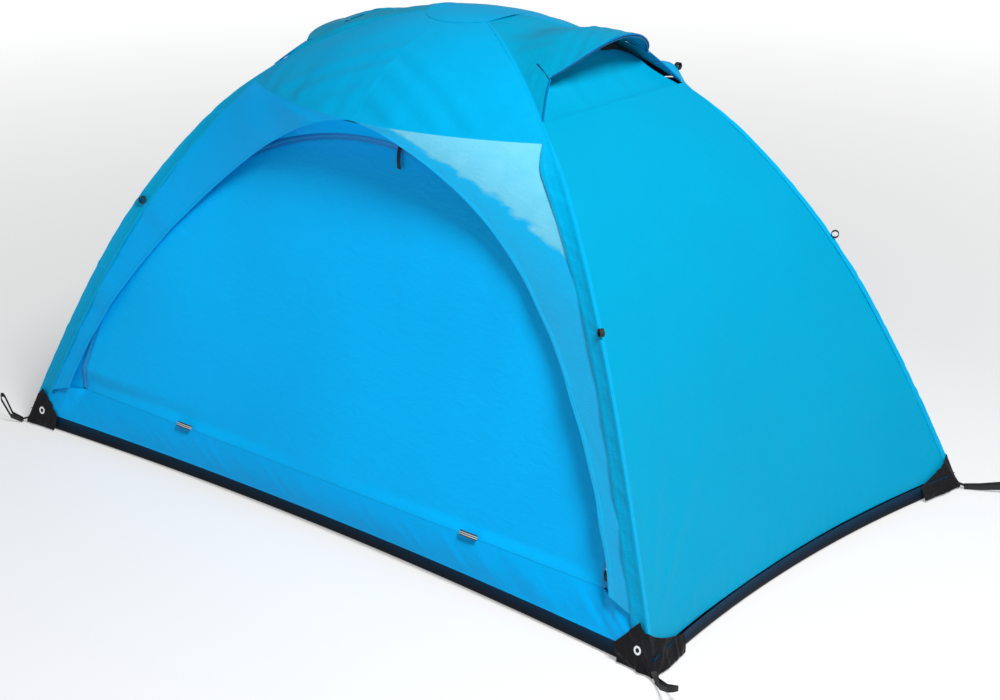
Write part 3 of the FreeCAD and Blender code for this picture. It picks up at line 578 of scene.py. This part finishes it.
def wall_lift(half_width, low, seed, side_y=0):
    """The relief of one wall; half_width gives its half width at a height, and low is its foot."""
    def lift(across, up, points):
        away = (1 - np.abs(2 * across - 1)) * half_width(points[:, 2])
        height = points[:, 2]
        reach = np.hypot(away, height - low)
        calm = smoothly(0, 0.02, away) * smoothly(0.05, 0.22, reach)
        seam = puckers(height, away, 0.045, 0.0016, seed)
        seam = seam + puckers(height, away, 0.012, 0.0008, seed + 50, 0.008)
        around = points[:, 0] + points[:, 1]
        hem = puckers(around, height - low, 0.035, 0.0014, seed + 20)
        broad = 0.0035 * rumple(points, 3.0, (1, 1, 0.5), seed)
        broad = broad + 0.0012 * rumple(points, 11.0, (1, 1, 0.45), seed)
        fan = 0.0030 * waves(np.arctan2(away, height - low), 0.13, seed + 30) * np.exp(-reach / 0.22)
        pulled = brow_pull(points) if side_y > 0 else 0.0
        return calm * (seam + hem + broad + fan + 0.0008 * (up < 0.012)) + pulled
    return lift


def back_place(across, up):
    u = (2 * across - 1) * (1 - SEAM_IN)
    return back(rising(HEM_HEIGHT, BROW, up), u)


back_wall = grid_sheet(
    "back_wall_cloth", 230, 130, back_place, wall_lift(lambda z: out_at(z) * COS_DIAGONAL, HEM_HEIGHT, 70, 1)
)
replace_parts(back_wall, "back_wall")
cloth(back_wall, "tent", front_nylon)

for word, side in (("left", -1), ("right", 1)):

    def end_place(across, up):
        v = (2 * across - 1) * (1 - SEAM_IN)
        return end(rising(HEM_HEIGHT, TIP_HEIGHT, up), v, side)

    wall = grid_sheet(
        f"end_wall_cloth_{word}", 150, 150, end_place,
        wall_lift(lambda z: out_at(z) * SIN_DIAGONAL, HEM_HEIGHT, 100 + side),
    )
    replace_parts(wall, f"end_wall_{word}")
    cloth(wall, "tent", end_nylon)

# ------------------------------------------------------------------ rain flaps
# The canopy overhangs the door as two wings of one big arch, sewn in to the brow seam above and to the
# pole seams at the sides. A narrow hem stiffens the arched edge, and the right wing's upper part carries a
# painted highlight.
FLAP_HALF, FLAP_POWER = 0.920, 1.55


def flap_edge(height):
    return FLAP_HALF * np.maximum(1 - (height / BROW) ** FLAP_POWER, 0) ** (1 / FLAP_POWER)


# Painted highlight: above a ragged line that slants down towards the right wing's pole, the base colour turns
# paler and greener. It stands in for the key lamp's reflection on that facet, and the noise only mottles it.
sunlit = Graph("sunlit nylon", BLUE, 0.4)
spot = sunlit.place()
ragged = sunlit.clouds(sunlit.stretch(spot, (1.0, 1.0, 2.5)), 16.0, 4.0)
reach = spot.axis("Z") + 0.41 * spot.axis("X") + 0.05 * (ragged - 0.5) - 1.005
pale = (reach * 90.0).math("MINIMUM", 1.0).math("MAXIMUM", 0.0)
shade = sunlit.clouds(spot, 22.0, 4.0, 0.6, 0.6)
painted_highlight_blue = sunlit.blend(shade, (0.09, 0.47, 0.67), (0.17, 0.56, 0.74))
sunlit.set("Base Color", sunlit.blend(pale, (0.0, 0.40, 0.76), painted_highlight_blue))
sunlit.set("Specular IOR Level", 0.25)
sunlit.bump(sunlit.clouds(sunlit.stretch(spot, (1.0, 1.0, 2.2)), 26.0, 5.0, 0.62, 0.8), 0.4, 0.004)

for word, side in (("left", -1), ("right", 1)):

    def flap_place(across, up):
        foot = SILL_HEIGHT + 0.003 - 0.034 * across
        low = np.arcsin((foot / BROW) ** (FLAP_POWER / 2))
        angle = low + (math.pi / 2 - low) * up
        height = np.minimum(BROW * np.sin(angle) ** (2 / FLAP_POWER), BROW)
        corner = out_at(height) * COS_DIAGONAL
        outer = 1 - SEAM_IN
        inner = np.minimum(flap_edge(height) / corner, outer - 0.02)
        return front(height, side * (inner + (outer - inner) * across))

    def flap_lift(across, up, points):
        corner = out_at(points[:, 2]) * COS_DIAGONAL
        from_seam = corner - np.abs(points[:, 0])
        from_edge = np.abs(points[:, 0]) - flap_edge(points[:, 2])
        from_brow = BROW - points[:, 2]
        ends = smoothly(0, 0.02, from_seam) * smoothly(0, 0.02, from_brow)
        hem = 0.0009 * (1 - smoothly(0.010, 0.012, from_edge))
        seam = puckers(points[:, 2], from_seam, 0.05, 0.0015, 200 + side)
        edge = puckers(points[:, 2] + np.abs(points[:, 0]), np.abs(from_edge), 0.03, 0.0010, 220 + side)
        pull = 0.0028 * waves(points[:, 2] * 1.0 + 0.45 * from_seam, 0.06, 240 + side)
        broad = 0.003 * rumple(points, 5.0, (1, 1, 0.6), 20 + side)
        return ends * (hem + seam + edge + (pull + broad) * smoothly(0, 0.05, from_seam))

    flap = grid_sheet(f"rain_flap_cloth_{word}", 76, 240, flap_place, flap_lift)
    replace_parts(flap, f"rain_flap_{word}")
    # The right wing takes the copy with the painted highlight.
    material = front_nylon if side < 0 else sunlit.material
    cloth(flap, "tent", material)

# ------------------------------------------------------------------ roof
# Over the front and the back the cloth rounds over the short pole; over the ends it runs out from the
# crown to the vents. The left roof hangs slack. A round patch covers the crossing.
VENT_EDGE, TIP_X = 0.325, TIP_OUT * COS_DIAGONAL
HOOD_HALF, HOOD_RIM, HOOD_SHOULDER = 0.76, 0.450, 0.385
LEFT_DROP = 0.045
TAN_DIAGONAL = SIN_DIAGONAL / COS_DIAGONAL


def roof_point(x, u, side):
    edge = up_at(x / COS_DIAGONAL)
    middle = CROWN - 0.001 - (LEFT_DROP if side < 0 else 0.0) * (x / VENT_EDGE) ** 2
    height = edge + (middle - edge) * (1 - u * u)
    return np.stack([side * x, u * x * TAN_DIAGONAL, height], axis=-1)


def hood_rim(u):
    within = HOOD_RIM - (HOOD_RIM - HOOD_SHOULDER) * (u / HOOD_HALF) ** 2
    beyond = np.clip((np.abs(u) - HOOD_HALF) / (1 - HOOD_HALF), 0, 1)
    outside = HOOD_SHOULDER + (TIP_X - 0.001 - HOOD_SHOULDER) * beyond**1.4
    return np.where(np.abs(u) < HOOD_HALF, within, outside)


def roof_edge(u):
    """The roof over an end stops at the hinge line inside the hood and carries on beside it."""
    beside = smoothly(HOOD_HALF - 0.03, HOOD_HALF + 0.02, np.abs(u))
    return (VENT_EDGE + 0.015) * (1 - beside) + hood_rim(u) * beside


for word, side in (("front", -1), ("back", 1)):

    def over_place(across, up):
        height = rising(BROW, float(up_at(0.03)), up)
        return long_side(height, (2 * across - 1) * (1 - SEAM_IN), side, FRONT_SAGS)

    def over_lift(across, up, points):
        corner = out_at(points[:, 2]) * COS_DIAGONAL
        from_seam = (1 - np.abs(2 * across - 1)) * corner
        calm = smoothly(0, 0.02, from_seam) * smoothly(0, 0.015, points[:, 2] - BROW)
        seam = puckers(points[:, 2] * 3, from_seam, 0.04, 0.0014, 300 + side)
        pull = 0.0022 * waves(points[:, 1] * 1.5 + np.abs(points[:, 0]) * 0.5, 0.045, 320 + side)
        along = 0.0020 * waves(points[:, 0], 0.035, 330 + side) * np.exp(-(points[:, 2] - BROW) / 0.05)
        spine = 0.0007 * np.exp(-((points[:, 0] / 0.008) ** 2))
        still = smoothly(0.10, 0.20, np.hypot(points[:, 0], points[:, 1]))
        folds = calm * (seam + pull + along + spine + 0.002 * rumple(points, 9.0, (1, 1, 1), 40)) * still
        return folds + (brow_pull(points) if side > 0 else 0.0)

    over = grid_sheet(f"roof_cloth_{word}", 190, 84, over_place, over_lift)
    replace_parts(over, "brow_panel" if side < 0 else "back_roof")
    cloth(over, "tent", roof_nylon)

for word, side in (("left", -1), ("right", 1)):

    def roof_place(across, up):
        u = (2 * across - 1) * (1 - SEAM_IN)
        return roof_point(0.03 + (roof_edge(u) - 0.03) * up, u, side)

    def roof_lift(across, up, points):
        from_seam = (1 - np.abs(2 * across - 1)) * np.abs(points[:, 0]) * TAN_DIAGONAL
        calm = smoothly(0, 0.02, from_seam)
        loose = 2.2 if side < 0 else 1.0
        seam = puckers(points[:, 0] * 1.3, from_seam, 0.04, 0.0014, 400 + side)
        pull = 0.0018 * loose * waves(points[:, 0] * 0.6 + np.abs(points[:, 1]) * 1.2, 0.035, 420 + side)
        still = smoothly(0.10, 0.20, np.hypot(points[:, 0], points[:, 1]))
        dip = 0.020 * np.exp(-(((np.abs(points[:, 0]) - 0.20) / 0.065) ** 2)) * (1 - (2 * across - 1) ** 2)
        folds = seam + pull + 0.002 * loose * rumple(points, 12.0, (1, 1, 1), 60)
        return calm * still * folds - (dip if side > 0 else 0.0)

    over = grid_sheet(f"roof_cloth_{word}", 120, 90, roof_place, roof_lift)
    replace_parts(over, f"roof_{word}")
    cloth(over, "tent", end_nylon)


def roof_height(x, y):
    """Height of the roof's cloth above a point of the floor, near the crown."""
    x, y = np.abs(x), np.abs(y)
    over_end = roof_point(np.maximum(x, 1e-4), np.clip(y / np.maximum(x * TAN_DIAGONAL, 1e-6), 0, 1), 1)[:, 2]
    low, high = np.full_like(x, BROW), np.full_like(x, CROWN)
    for _ in range(30):
        middle = (low + high) / 2
        u = np.clip(x / np.maximum(out_at(middle) * COS_DIAGONAL, 1e-5), 0, 1)
        beyond = -long_side(middle, u, -1, FRONT_SAGS)[:, 1] > y
        low, high = np.where(beyond, middle, low), np.where(beyond, high, middle)
    return np.where(y <= x * TAN_DIAGONAL, over_end, low)


CROWN_PATCH = 0.112


def patch_place(across, up):
    s, t = 2 * across - 1, 2 * up - 1
    reach = np.maximum(np.abs(s), np.abs(t))
    size = np.maximum(np.hypot(s, t), 1e-9)
    x, y = CROWN_PATCH * reach * s / size, CROWN_PATCH * reach * t / size
    height = np.minimum(roof_height(x, y) + 0.0011, CROWN)
    return np.stack([x, y, height], axis=-1)


patch = grid_sheet("crown_patch_cloth", 60, 60, patch_place)
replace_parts(patch, "crown_patch")
cloth(patch, "tent", roof_nylon)

# ------------------------------------------------------------------ seams over the poles
# Where two panels meet over a pole they are sewn to a folded strip that wraps the edge. It makes the
# double line down each leg, from the crown patch to the black corner, and it is finely wrinkled.
BAND_FRONT, BAND_END = 0.042, 0.012


def over_corner(height, away, side_x, side_y):
    """A point near a corner seam; away is below 0 on the front or back and above 0 on the end."""
    out = out_at(height)
    half_x, half_y = out * COS_DIAGONAL, out * SIN_DIAGONAL
    on_long = long_side(height, side_x * (1 - np.abs(away) / half_x), side_y,
                        FRONT_SAGS if side_y < 0 else BACK_SAGS)
    on_end = end(height, side_y * (1 - np.abs(away) / half_y), side_x)
    on_roof = roof_point(half_x, side_y * (1 - np.abs(away) / half_y), side_x)
    on_end = np.where((height < TIP_HEIGHT)[:, None], on_end, on_roof)
    return np.where((away < 0)[:, None], on_long, on_end)


def corner_word(side_x, side_y):
    return ("front_" if side_y < 0 else "back_") + ("left" if side_x < 0 else "right")


CORNERS = [(-1, -1), (1, -1), (1, 1), (-1, 1)]
band_nylon = nylon("seam nylon", (0.0, 0.34, 0.62), 0.4, 1.6)
for number, (side_x, side_y) in enumerate(CORNERS):

    def band_place(across, up):
        height = rising(0.045, float(up_at(0.10)), up)
        width = np.minimum(1, out_at(height) * SIN_DIAGONAL / 0.10)
        width = width * (1 - 0.85 * smoothly(0.90, 0.99, height))
        return over_corner(height, (across * (BAND_FRONT + BAND_END) - BAND_FRONT) * width, side_x, side_y)

    def band_lift(across, up, points):
        away = across * (BAND_FRONT + BAND_END) - BAND_FRONT
        wrinkle = waves(points[:, 2] + 0.5 * away, 0.014, 500 + number)
        wrinkle = 0.0013 * wrinkle * (0.3 + 0.7 * np.abs(waves(points[:, 2], 0.09, 520 + number)))
        pole = 0.0020 * np.exp(-((away / 0.006) ** 2)) + 0.0010 * np.exp(-(((away + 0.034) / 0.004) ** 2))
        low = 1 - 0.9 * smoothly(0.90, 0.99, points[:, 2])
        return 0.0004 + (0.0008 + pole + wrinkle * (1 - (2 * across - 1) ** 4)) * low

    band = grid_sheet(f"pole_seam_{corner_word(side_x, side_y)}", 18, 260, band_place, band_lift)
    cloth(band, "tent", band_nylon)

# ------------------------------------------------------------------ door
# One panel of nylon in a flat arch, zipped all round and folded in at its foot. The surround beside it
# runs out under the rain flap to the poles. The door hangs a little slack.
LEAN = math.radians(16.74)
ZIP_RADIUS, ZIP_DROP = 0.8672, 0.060


def door_point(local_x, local_y, off=0.0):
    """A point of the door's leaning plane: across, up its slope, and out of it. Its left side billows
    out a little towards the flap."""
    turn = np.degrees(np.arctan2(local_x, local_y + ZIP_DROP))
    near_zip = smoothly(0.35, 1.0, np.hypot(local_x, local_y + ZIP_DROP) / ZIP_RADIUS)
    left = 0.018 * smoothly(-30, -60, turn) * smoothly(-90, -82, turn)
    off = off + left * near_zip * smoothly(0, 0.06, local_y)
    y = HINGE_Y + local_y * math.sin(LEAN) - off * math.cos(LEAN)
    z = HINGE_Z + local_y * math.cos(LEAN) + off * math.sin(LEAN)
    return np.stack([local_x + 0 * y, y, z], axis=-1)


def arc_place(radius, turn):
    """Local place on the zip's circle; turn is from the top, in radians, towards +X."""
    return radius * np.sin(turn), radius * np.cos(turn) - ZIP_DROP


def door_place(across, up):
    radius = ZIP_RADIUS - 0.004
    foot = math.acos((ZIP_DROP + 0.002) / radius)
    x, top = arc_place(radius, foot * (2 * across - 1))
    return door_point(x, 0.0005 + (top - 0.0005) * up)


def door_lift(across, up, points):
    slope = (points[:, 2] - HINGE_Z) / math.cos(LEAN)
    from_zip = ZIP_RADIUS - np.hypot(points[:, 0], slope + ZIP_DROP)
    calm = smoothly(0, 0.03, from_zip) * smoothly(0, 0.03, slope)
    turn = np.arctan2(points[:, 0], slope + ZIP_DROP)
    seam = puckers(turn * ZIP_RADIUS, np.maximum(from_zip, 0), 0.04, 0.0016, 600)
    foot = puckers(points[:, 0], slope, 0.03, 0.0014, 610)
    hang = 0.0020 * waves(points[:, 0] * (1 + 0.25 * slope), 0.09, 620) * slope
    slack = -0.010 * np.sin(np.pi * np.clip(from_zip / 0.8, 0, 1))
    return calm * (seam + foot + hang + slack + 0.003 * rumple(points, 4.0, (1, 1, 0.5), 80))


door = grid_sheet("door_cloth", 230, 130, door_place, door_lift)
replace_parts(door, "door_panel")
cloth(door, "door", door_nylon)


def surround_place(across, up):
    foot = math.acos((ZIP_DROP - 0.018) / (ZIP_RADIUS + 0.002))
    x, slope = arc_place(ZIP_RADIUS + 0.002, foot * (2 * across - 1))
    inner = door_point(x, slope)
    leg = np.clip(np.abs(2 * across - 1), 0, 1)
    height = BROW - 0.006 - (BROW - HINGE_Z + 0.010) * np.clip((leg - 0.33) / 0.67, 0, 1)
    u = np.sign(2 * across - 1) * np.clip(leg / 0.33, 0, 1) * 0.992
    outer = front(height, u)
    outer[:, 1] += 0.008
    return inner + (outer - inner) * up[:, None]


surround = grid_sheet("door_surround_cloth", 300, 14, surround_place)
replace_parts(surround, "door_surround")
cloth(surround, "tent", door_nylon)

# ------------------------------------------------------------------ door zip
# Two blue woven tapes with a nylon coil between them, sewn to the door and to its surround. Two metal
# sliders run on the coil, each with a black webbing pull.
zip_graph = Graph("zip tape", (0.0, 0.30, 0.70), 0.55)
zip_graph.bump((zip_graph.cloth_uv().axis("X") * 3600.0).sin(), 0.5, 0.0006)
for word, low, high, body in (("outer", 0.0001, 0.0125, "tent"), ("inner", -0.0125, -0.0001, "door")):

    def tape_place(across, up):
        foot = math.acos((ZIP_DROP + 0.003) / (ZIP_RADIUS - 0.0125))
        x, slope = arc_place(ZIP_RADIUS + low + (high - low) * up, foot * (2 * across - 1))
        near = up if word == "outer" else 1 - up
        return door_point(x, slope, 0.0012 + 0.0010 * (near < 0.3))

    tape = grid_sheet(f"zip_tape_{word}", 420, 8, tape_place)
    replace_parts(tape, f"door_zip_{word}_half")
    cloth(tape, body, zip_graph.material)
dress(bright_metal, "zip_slider_upper", "zip_slider_lower")


def strap(name, line, across, width, thickness=0.0015, columns=6):
    """Woven tape along a line of points, its width along the vectors given at each point."""
    line, across = np.asarray(line, float), np.asarray(across, float)
    across = across / np.linalg.norm(across, axis=1)[:, None]
    steps = np.r_[0, np.cumsum(np.linalg.norm(np.diff(line, axis=0), axis=1))]
    even = np.linspace(0, steps[-1], max(24, int(steps[-1] / 0.0022)))
    line = np.stack([np.interp(even, steps, line[:, k]) for k in range(3)], axis=1)
    across = np.stack([np.interp(even, steps, across[:, k]) for k in range(3)], axis=1)

    def place(a, b):
        row = np.clip(np.rint(b * (len(even) - 1)).astype(int), 0, len(even) - 1)
        return line[row] + across[row] * ((a - 0.5) * width)[:, None]

    thing = grid_sheet(name, columns, len(even) - 1, place)
    thing["depth"] = thickness
    return thing


def webbing_piece(thing, body, material=None):
    """Finish a piece of tape: its thickness either side of its middle, its weave and its body."""
    area, (width, length) = area_of(thing), thing["cut"]
    solidify = thing.modifiers.new("tape", "SOLIDIFY")
    solidify.thickness, solidify.offset = thing["depth"], 0.0
    apply_modifiers(thing)
    finish_mesh(thing)
    bpy.ops.object.shade_smooth_by_angle(angle=math.radians(50))
    thing.data.materials.append(material or black_webbing)
    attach(thing, body)
    width = max(width, 0.0101)
    round(min(max(area, 0.31 * width * length), 0.999 * width * length), 7)
    return thing


for word, turn, length in (("upper", 4.8, 0.055), ("lower", 83.5, 0.024)):
    peg_x, peg_slope = arc_place(ZIP_RADIUS, math.radians(turn))
    share = np.linspace(0, 1, 24)
    drop = peg_slope + 0.002 - (length - 0.002) * share
    off = 0.0052 + 0.0035 * np.sin(np.pi * share)
    line = door_point(peg_x + 0.010 * share * (length / 0.055), drop, off)
    pull = strap(f"zip_pull_strap_{word}", line, [(1, 0, 0)] * 24, 0.0102)
    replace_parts(pull, f"zip_pull_{word}")
    webbing_piece(pull, f"pull_{word}")

# ------------------------------------------------------------------ vents
# At each end the roof carries on as a hood over a gap under it. The gap is closed by black mesh, and a
# wire in the hood's piped rim holds it out like a cap's peak. The left hood is lowered.
mesh_graph = Graph("insect mesh", (0.010, 0.012, 0.016), 0.8)
weft = (mesh_graph.cloth_uv().axis("X") * 3900.0).sin().abs()
warp = (mesh_graph.cloth_uv().axis("Y") * 3900.0).sin().abs()
mesh_graph.bump(weft * warp, 0.6, 0.0006)
# The hood rims' binding is dark navy. This is partly the binding's own colour and partly painted shadow,
# since it also stands in for the shadow line under the hood's edge.
piping = nylon("dark piping", (0.0, 0.14, 0.36), 0.45)


def binding(name, line, radius=0.0019):
    """A narrow strip of cloth folded round a rim: an open curl swept along a line of points."""
    line = np.asarray(line, float)
    along = np.gradient(line, axis=0)
    along /= np.linalg.norm(along, axis=1)[:, None]
    raised = np.array((0, 0, 1.0)) - along * along[:, 2:3]
    raised /= np.linalg.norm(raised, axis=1)[:, None]
    beside = np.cross(along, raised)

    def place(a, b):
        row = np.clip(np.rint(b * (len(line) - 1)).astype(int), 0, len(line) - 1)
        turn = (a - 0.5) * 5.4
        around = raised[row] * np.cos(turn)[:, None] + beside[row] * np.sin(turn)[:, None]
        return line[row] + radius * around

    thing = grid_sheet(name, 12, len(line) - 1, place)
    thing["depth"] = 0.0008
    return thing


for word, side in (("left", -1), ("right", 1)):
    hood_body = f"hood_{word}"

    def hood_place(across, up):
        u = HOOD_HALF * 1.03 * (2 * across - 1)
        start = VENT_EDGE + 0.002
        return roof_point(start + (hood_rim(u) - start) * up, u, side)

    def hood_lift(across, up, points):
        fold = 0.0016 * waves(points[:, 1] * 1.2, 0.03, 700 + side) * (1 - up**2)
        pull = 0.0012 * waves(points[:, 0] + 0.4 * points[:, 1], 0.018, 710 + side)
        return 0.0022 + fold + pull + 0.0008 * (up > 0.90)

    hood = grid_sheet(f"vent_hood_cloth_{word}", 130, 40, hood_place, hood_lift)
    face_out(hood)
    area = area_of(hood)
    width, length = hood["cut"]
    thicken(hood, 0.0011)
    hood.data.materials.append(end_nylon)
    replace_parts(hood, f"vent_hood_{word}")
    hinge_height = float(points_of(hood)[:, 2].max())
    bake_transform(hood)
    round(max(area, 0.31 * width * length), 5)

    share = np.linspace(-1, 1, 160)
    rim = roof_point(hood_rim(share * HOOD_HALF * 1.02) - 0.001, share * HOOD_HALF * 1.02, side)
    rim[:, 2] += 0.0008
    edge = binding(f"vent_rim_binding_{word}", rim)
    webbing_piece(edge, hood_body, piping)

    # These bindings follow the hood's edge from its shoulder to its tip, and their dark navy is painted
    # shadow there as well as binding.
    for front_back, side_y in (("front", -1), ("back", 1)):
        share = np.linspace(HOOD_HALF * 1.03, 0.99, 70)
        rim = roof_point(hood_rim(share), side_y * share, side)
        edge = binding(f"vent_side_binding_{front_back}_{word}", rim)
        webbing_piece(edge, "tent", piping)

    def vent_place(across, up):
        u = 2 * across - 1
        low = np.stack([side * (TIP_X - 0.002) + 0 * u, 0.985 * u * TIP_X * TAN_DIAGONAL,
                        TIP_HEIGHT - 0.006 + 0 * u], axis=-1)
        high = roof_point(VENT_EDGE - 0.006 + 0 * u, 0.80 * u, side)
        high[:, 2] -= 0.010
        return low + (high - low) * up[:, None]

    def vent_wall_lift(across, up, points):
        bulge = -0.005 * np.sin(np.pi * np.clip(up * 1.1, 0, 1))
        pull = 0.0016 * waves(points[:, 1] + 0.3 * points[:, 2], 0.03, 740 + side)
        return bulge + pull * smoothly(0, 0.15, up)

    lower = grid_sheet(
        f"vent_wall_cloth_{word}", 90, 40, lambda a, b: vent_place(a, b * 0.735), vent_wall_lift
    )
    if side < 0:
        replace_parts(lower, "vent_walls")
    cloth(lower, "tent", end_nylon)
    net = grid_sheet(f"vent_net_{word}", 70, 12, lambda a, b: vent_place(a, 0.72 + b * 0.28))
    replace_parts(net, f"vent_mesh_{word}")
    cloth(net, "tent", mesh_graph.material)
coated_wire = Graph("coated wire", (0.0, 0.10, 0.26), 0.5)
coated_wire.bump(coated_wire.clouds(coated_wire.place(), 200.0), 0.1, 0.0005)
dress(coated_wire.material, "hood_wire_left", "hood_wire_right")

# ------------------------------------------------------------------ corners
# Black coated patches wrap the foot of each corner, gathered in pleats. An eyelet in each takes the pole
# tip, and a webbing loop for a stake comes out from under it.
patch_nylon = nylon("black patch", (0.012, 0.012, 0.014), 0.36, 2.0)
LOOP_START, LOOP_LENGTH, LOOP_RADIUS, LOOP_LIES = 0.009, 0.105, 0.0115, 0.0068
LOOP_CURL = (1.15, 0.42, 0.12, 0.25)  # how far each loop stands up from the ground, in radians
PATCH_FRONT, PATCH_END, PATCH_PEAK, PATCH_HEIGHT = 0.100, 0.126, -0.012, 0.105
for number, (side_x, side_y) in enumerate(CORNERS):

    def patch_away(across):
        return across * (PATCH_FRONT + PATCH_END) - PATCH_FRONT

    def corner_place(across, up):
        away = patch_away(across)
        share = np.clip(np.where(away < PATCH_PEAK, (PATCH_PEAK - away) / (PATCH_FRONT + PATCH_PEAK),
                                 (away - PATCH_PEAK) / (PATCH_END - PATCH_PEAK)), 0, 1)
        bend = np.where(away < PATCH_PEAK, 1.0, 0.62)
        top = 0.004 + (PATCH_HEIGHT - 0.004) * (1 - share**bend) + 0.036 * share
        return over_corner(0.003 + (top - 0.003) * up, away, side_x, side_y)

    def corner_lift(across, up, points):
        away = patch_away(across)
        from_eyelet = np.hypot(away + 0.034, points[:, 2] - 0.045)
        fan = np.arctan2(np.abs(away) + 0.01, points[:, 2] + 0.02)
        pleat = waves(fan * np.sign(away), 0.16, 800 + number) + 0.5 * waves(away, 0.010, 810 + number)
        raised = 0.0034 * np.maximum(pleat, -0.6) * smoothly(0.012, 0.030, from_eyelet)
        over_rim = 0.0022 * smoothly(0.012, 0.030, from_eyelet) + 0.0030 * smoothly(0.01, 0.04, away)
        return 0.0026 + over_rim + raised + 0.0006 * (up > 0.93)

    word = corner_word(side_x, side_y)
    piece = grid_sheet(f"corner_patch_{word}", 90, 50, corner_place, corner_lift)
    if number == 0:
        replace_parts(piece, "corner_patches")
    cloth(piece, "tent", patch_nylon, depth=0.0015)

    heading = np.array((side_x * COS_DIAGONAL, side_y * SIN_DIAGONAL, 0.0))
    beside = np.array((-heading[1], heading[0], 0.0))
    start = HALF_DIAGONAL + LOOP_START
    turn = np.linspace(-np.pi / 2, np.pi / 2, 16)
    tip = start + LOOP_LENGTH - 0.013
    out = np.r_[start + 0.006, tip + LOOP_RADIUS * np.cos(turn), start + 0.006]
    wide = np.r_[-0.004, LOOP_RADIUS * np.sin(turn), 0.004]
    fill = np.linspace(0, 1, 40)
    steps = np.linspace(0, 1, len(out))
    out, wide = np.interp(fill, steps, out), np.interp(fill, steps, wide)
    beyond = np.maximum(out - start - 0.030, 0)
    height = LOOP_LIES + beyond * math.sin(LOOP_CURL[number])
    out = np.minimum(out, start + 0.030) + beyond * math.cos(LOOP_CURL[number])
    line = heading * out[:, None] + beside * wide[:, None] + np.array((0, 0, 1)) * height[:, None]
    loop = strap(f"stake_strap_{word}", line, [(0, 0, 1)] * 40, 0.0115, 0.0018)
    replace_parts(loop, f"stake_loop_{word}")
    webbing_piece(loop, f"loop_{word}")

    back_in = np.linspace(HALF_DIAGONAL - 0.008, start + 0.012, 16)
    knots = (HALF_DIAGONAL - 0.008, HALF_DIAGONAL, start + 0.012)
    height = np.interp(back_in, knots, (0.018, 0.013, LOOP_LIES))
    line = heading * (back_in + 0.004)[:, None] + np.array((0, 0, 1)) * height[:, None]
    tail = strap(f"stake_strap_tail_{word}", line, [beside] * 16, 0.0125, 0.0018)
    webbing_piece(tail, "tent")
dress(bright_metal, "corner_eyelets")

# ------------------------------------------------------------------ guy loops and sill tabs
# Small black webbing loops for guy lines, sewn into the seams over the poles and the back brow, and two
# striped reflective tabs on the sill that hold the door when it is rolled.
GUY_HEIGHT = 0.636
places = []
for side_x, side_y in CORNERS:
    aside = -0.030 if (side_x, side_y) == (-1, -1) else 0.0
    seat = over_corner(np.array([GUY_HEIGHT]), np.array([aside]), side_x, side_y)[0]
    away = np.array((side_x * COS_DIAGONAL, side_y * SIN_DIAGONAL, 0.35))
    places.append((f"guy_loop_{corner_word(side_x, side_y)}", seat, away))
for word, side_x in (("left", -1), ("right", 1)):
    seat = back(np.array([PULL_HEIGHT]), np.array([side_x * 0.82]))
    seat = (seat + brow_pull(seat)[:, None] * np.array((0, 0.62, 0.78)))[0]
    places.append((f"guy_loop_brow_{word}", seat, np.array((0, 0.85, 0.5))))
first_guy = None
for name, seat, away in places:
    away = away / np.linalg.norm(away)
    up_line = np.array((0, 0, 1.0)) - away * away[2]
    up_line /= np.linalg.norm(up_line)
    turn = np.linspace(0, 2 * np.pi, 40)
    line = seat + away * (0.0095 - 0.0088 * np.cos(turn))[:, None]
    line = line + up_line * (0.0085 * np.sin(turn))[:, None]
    line += away * 0.002
    loop = strap(name, line, [np.cross(away, up_line)] * 40, 0.0102, 0.0014)
    if first_guy is None:
        first_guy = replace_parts(loop, "guy_loops")
    webbing_piece(loop, "tent")

tab_graph = Graph("reflective tab", (0.02, 0.02, 0.02), 0.5)
stripe = (((tab_graph.cloth_uv().axis("X") / 0.0125 - 0.5).abs() - 0.17).abs() < 0.075)
tab_graph.set("Base Color", tab_graph.blend(stripe, (0.02, 0.02, 0.022), (0.62, 0.66, 0.68)))
for word, side in (("left", -1), ("right", 1)):
    line_x = np.linspace(-0.026, 0.026, 24) + side * 0.474 + 0.010
    width = float(out_at(SILL_HEIGHT)) * COS_DIAGONAL
    seat = sill_place((line_x / width + 1) / 2, np.full(24, 0.98))
    above = seat - sill_place((line_x / width + 1) / 2, np.full(24, 0.88))
    stand_off = 0.0055 + 0.0015 * np.sin(np.linspace(0, np.pi, 24))
    line = seat + (0, 0, 0.007) + np.array((0, -1, 0.3)) * stand_off[:, None]
    tab = strap(f"sill_tab_{word}", line, above, 0.0125, 0.0012)
    if side < 0:
        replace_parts(tab, "sill_tabs")
    webbing_piece(tab, "tent", tab_graph.material)

# ------------------------------------------------------------------ floor and close
# The studio floor is one large pale sheet, a little brighter far away, so that it meets the pale room.
bpy.ops.mesh.primitive_plane_add(size=60, location=(0, 0, -0.0006))
ground = bpy.context.object
ground.name = "ground"
ground_graph = Graph("studio floor", (0.52, 0.52, 0.52), 0.9)
spot = ground_graph.place()
distance = (spot.axis("X").power(2.0) + spot.axis("Y").power(2.0)).power(0.5)
far = ((distance - 1.6) / 4.5).math("MINIMUM", 1.0).math("MAXIMUM", 0.0)
ground_graph.set("Emission Color", ground_graph.blend(far, (0.37, 0.37, 0.37), (0.88, 0.88, 0.88)))
ground_graph.set("Emission Strength", 1.0)
ground.data.materials.append(ground_graph.material)
ground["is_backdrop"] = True

low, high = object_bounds()
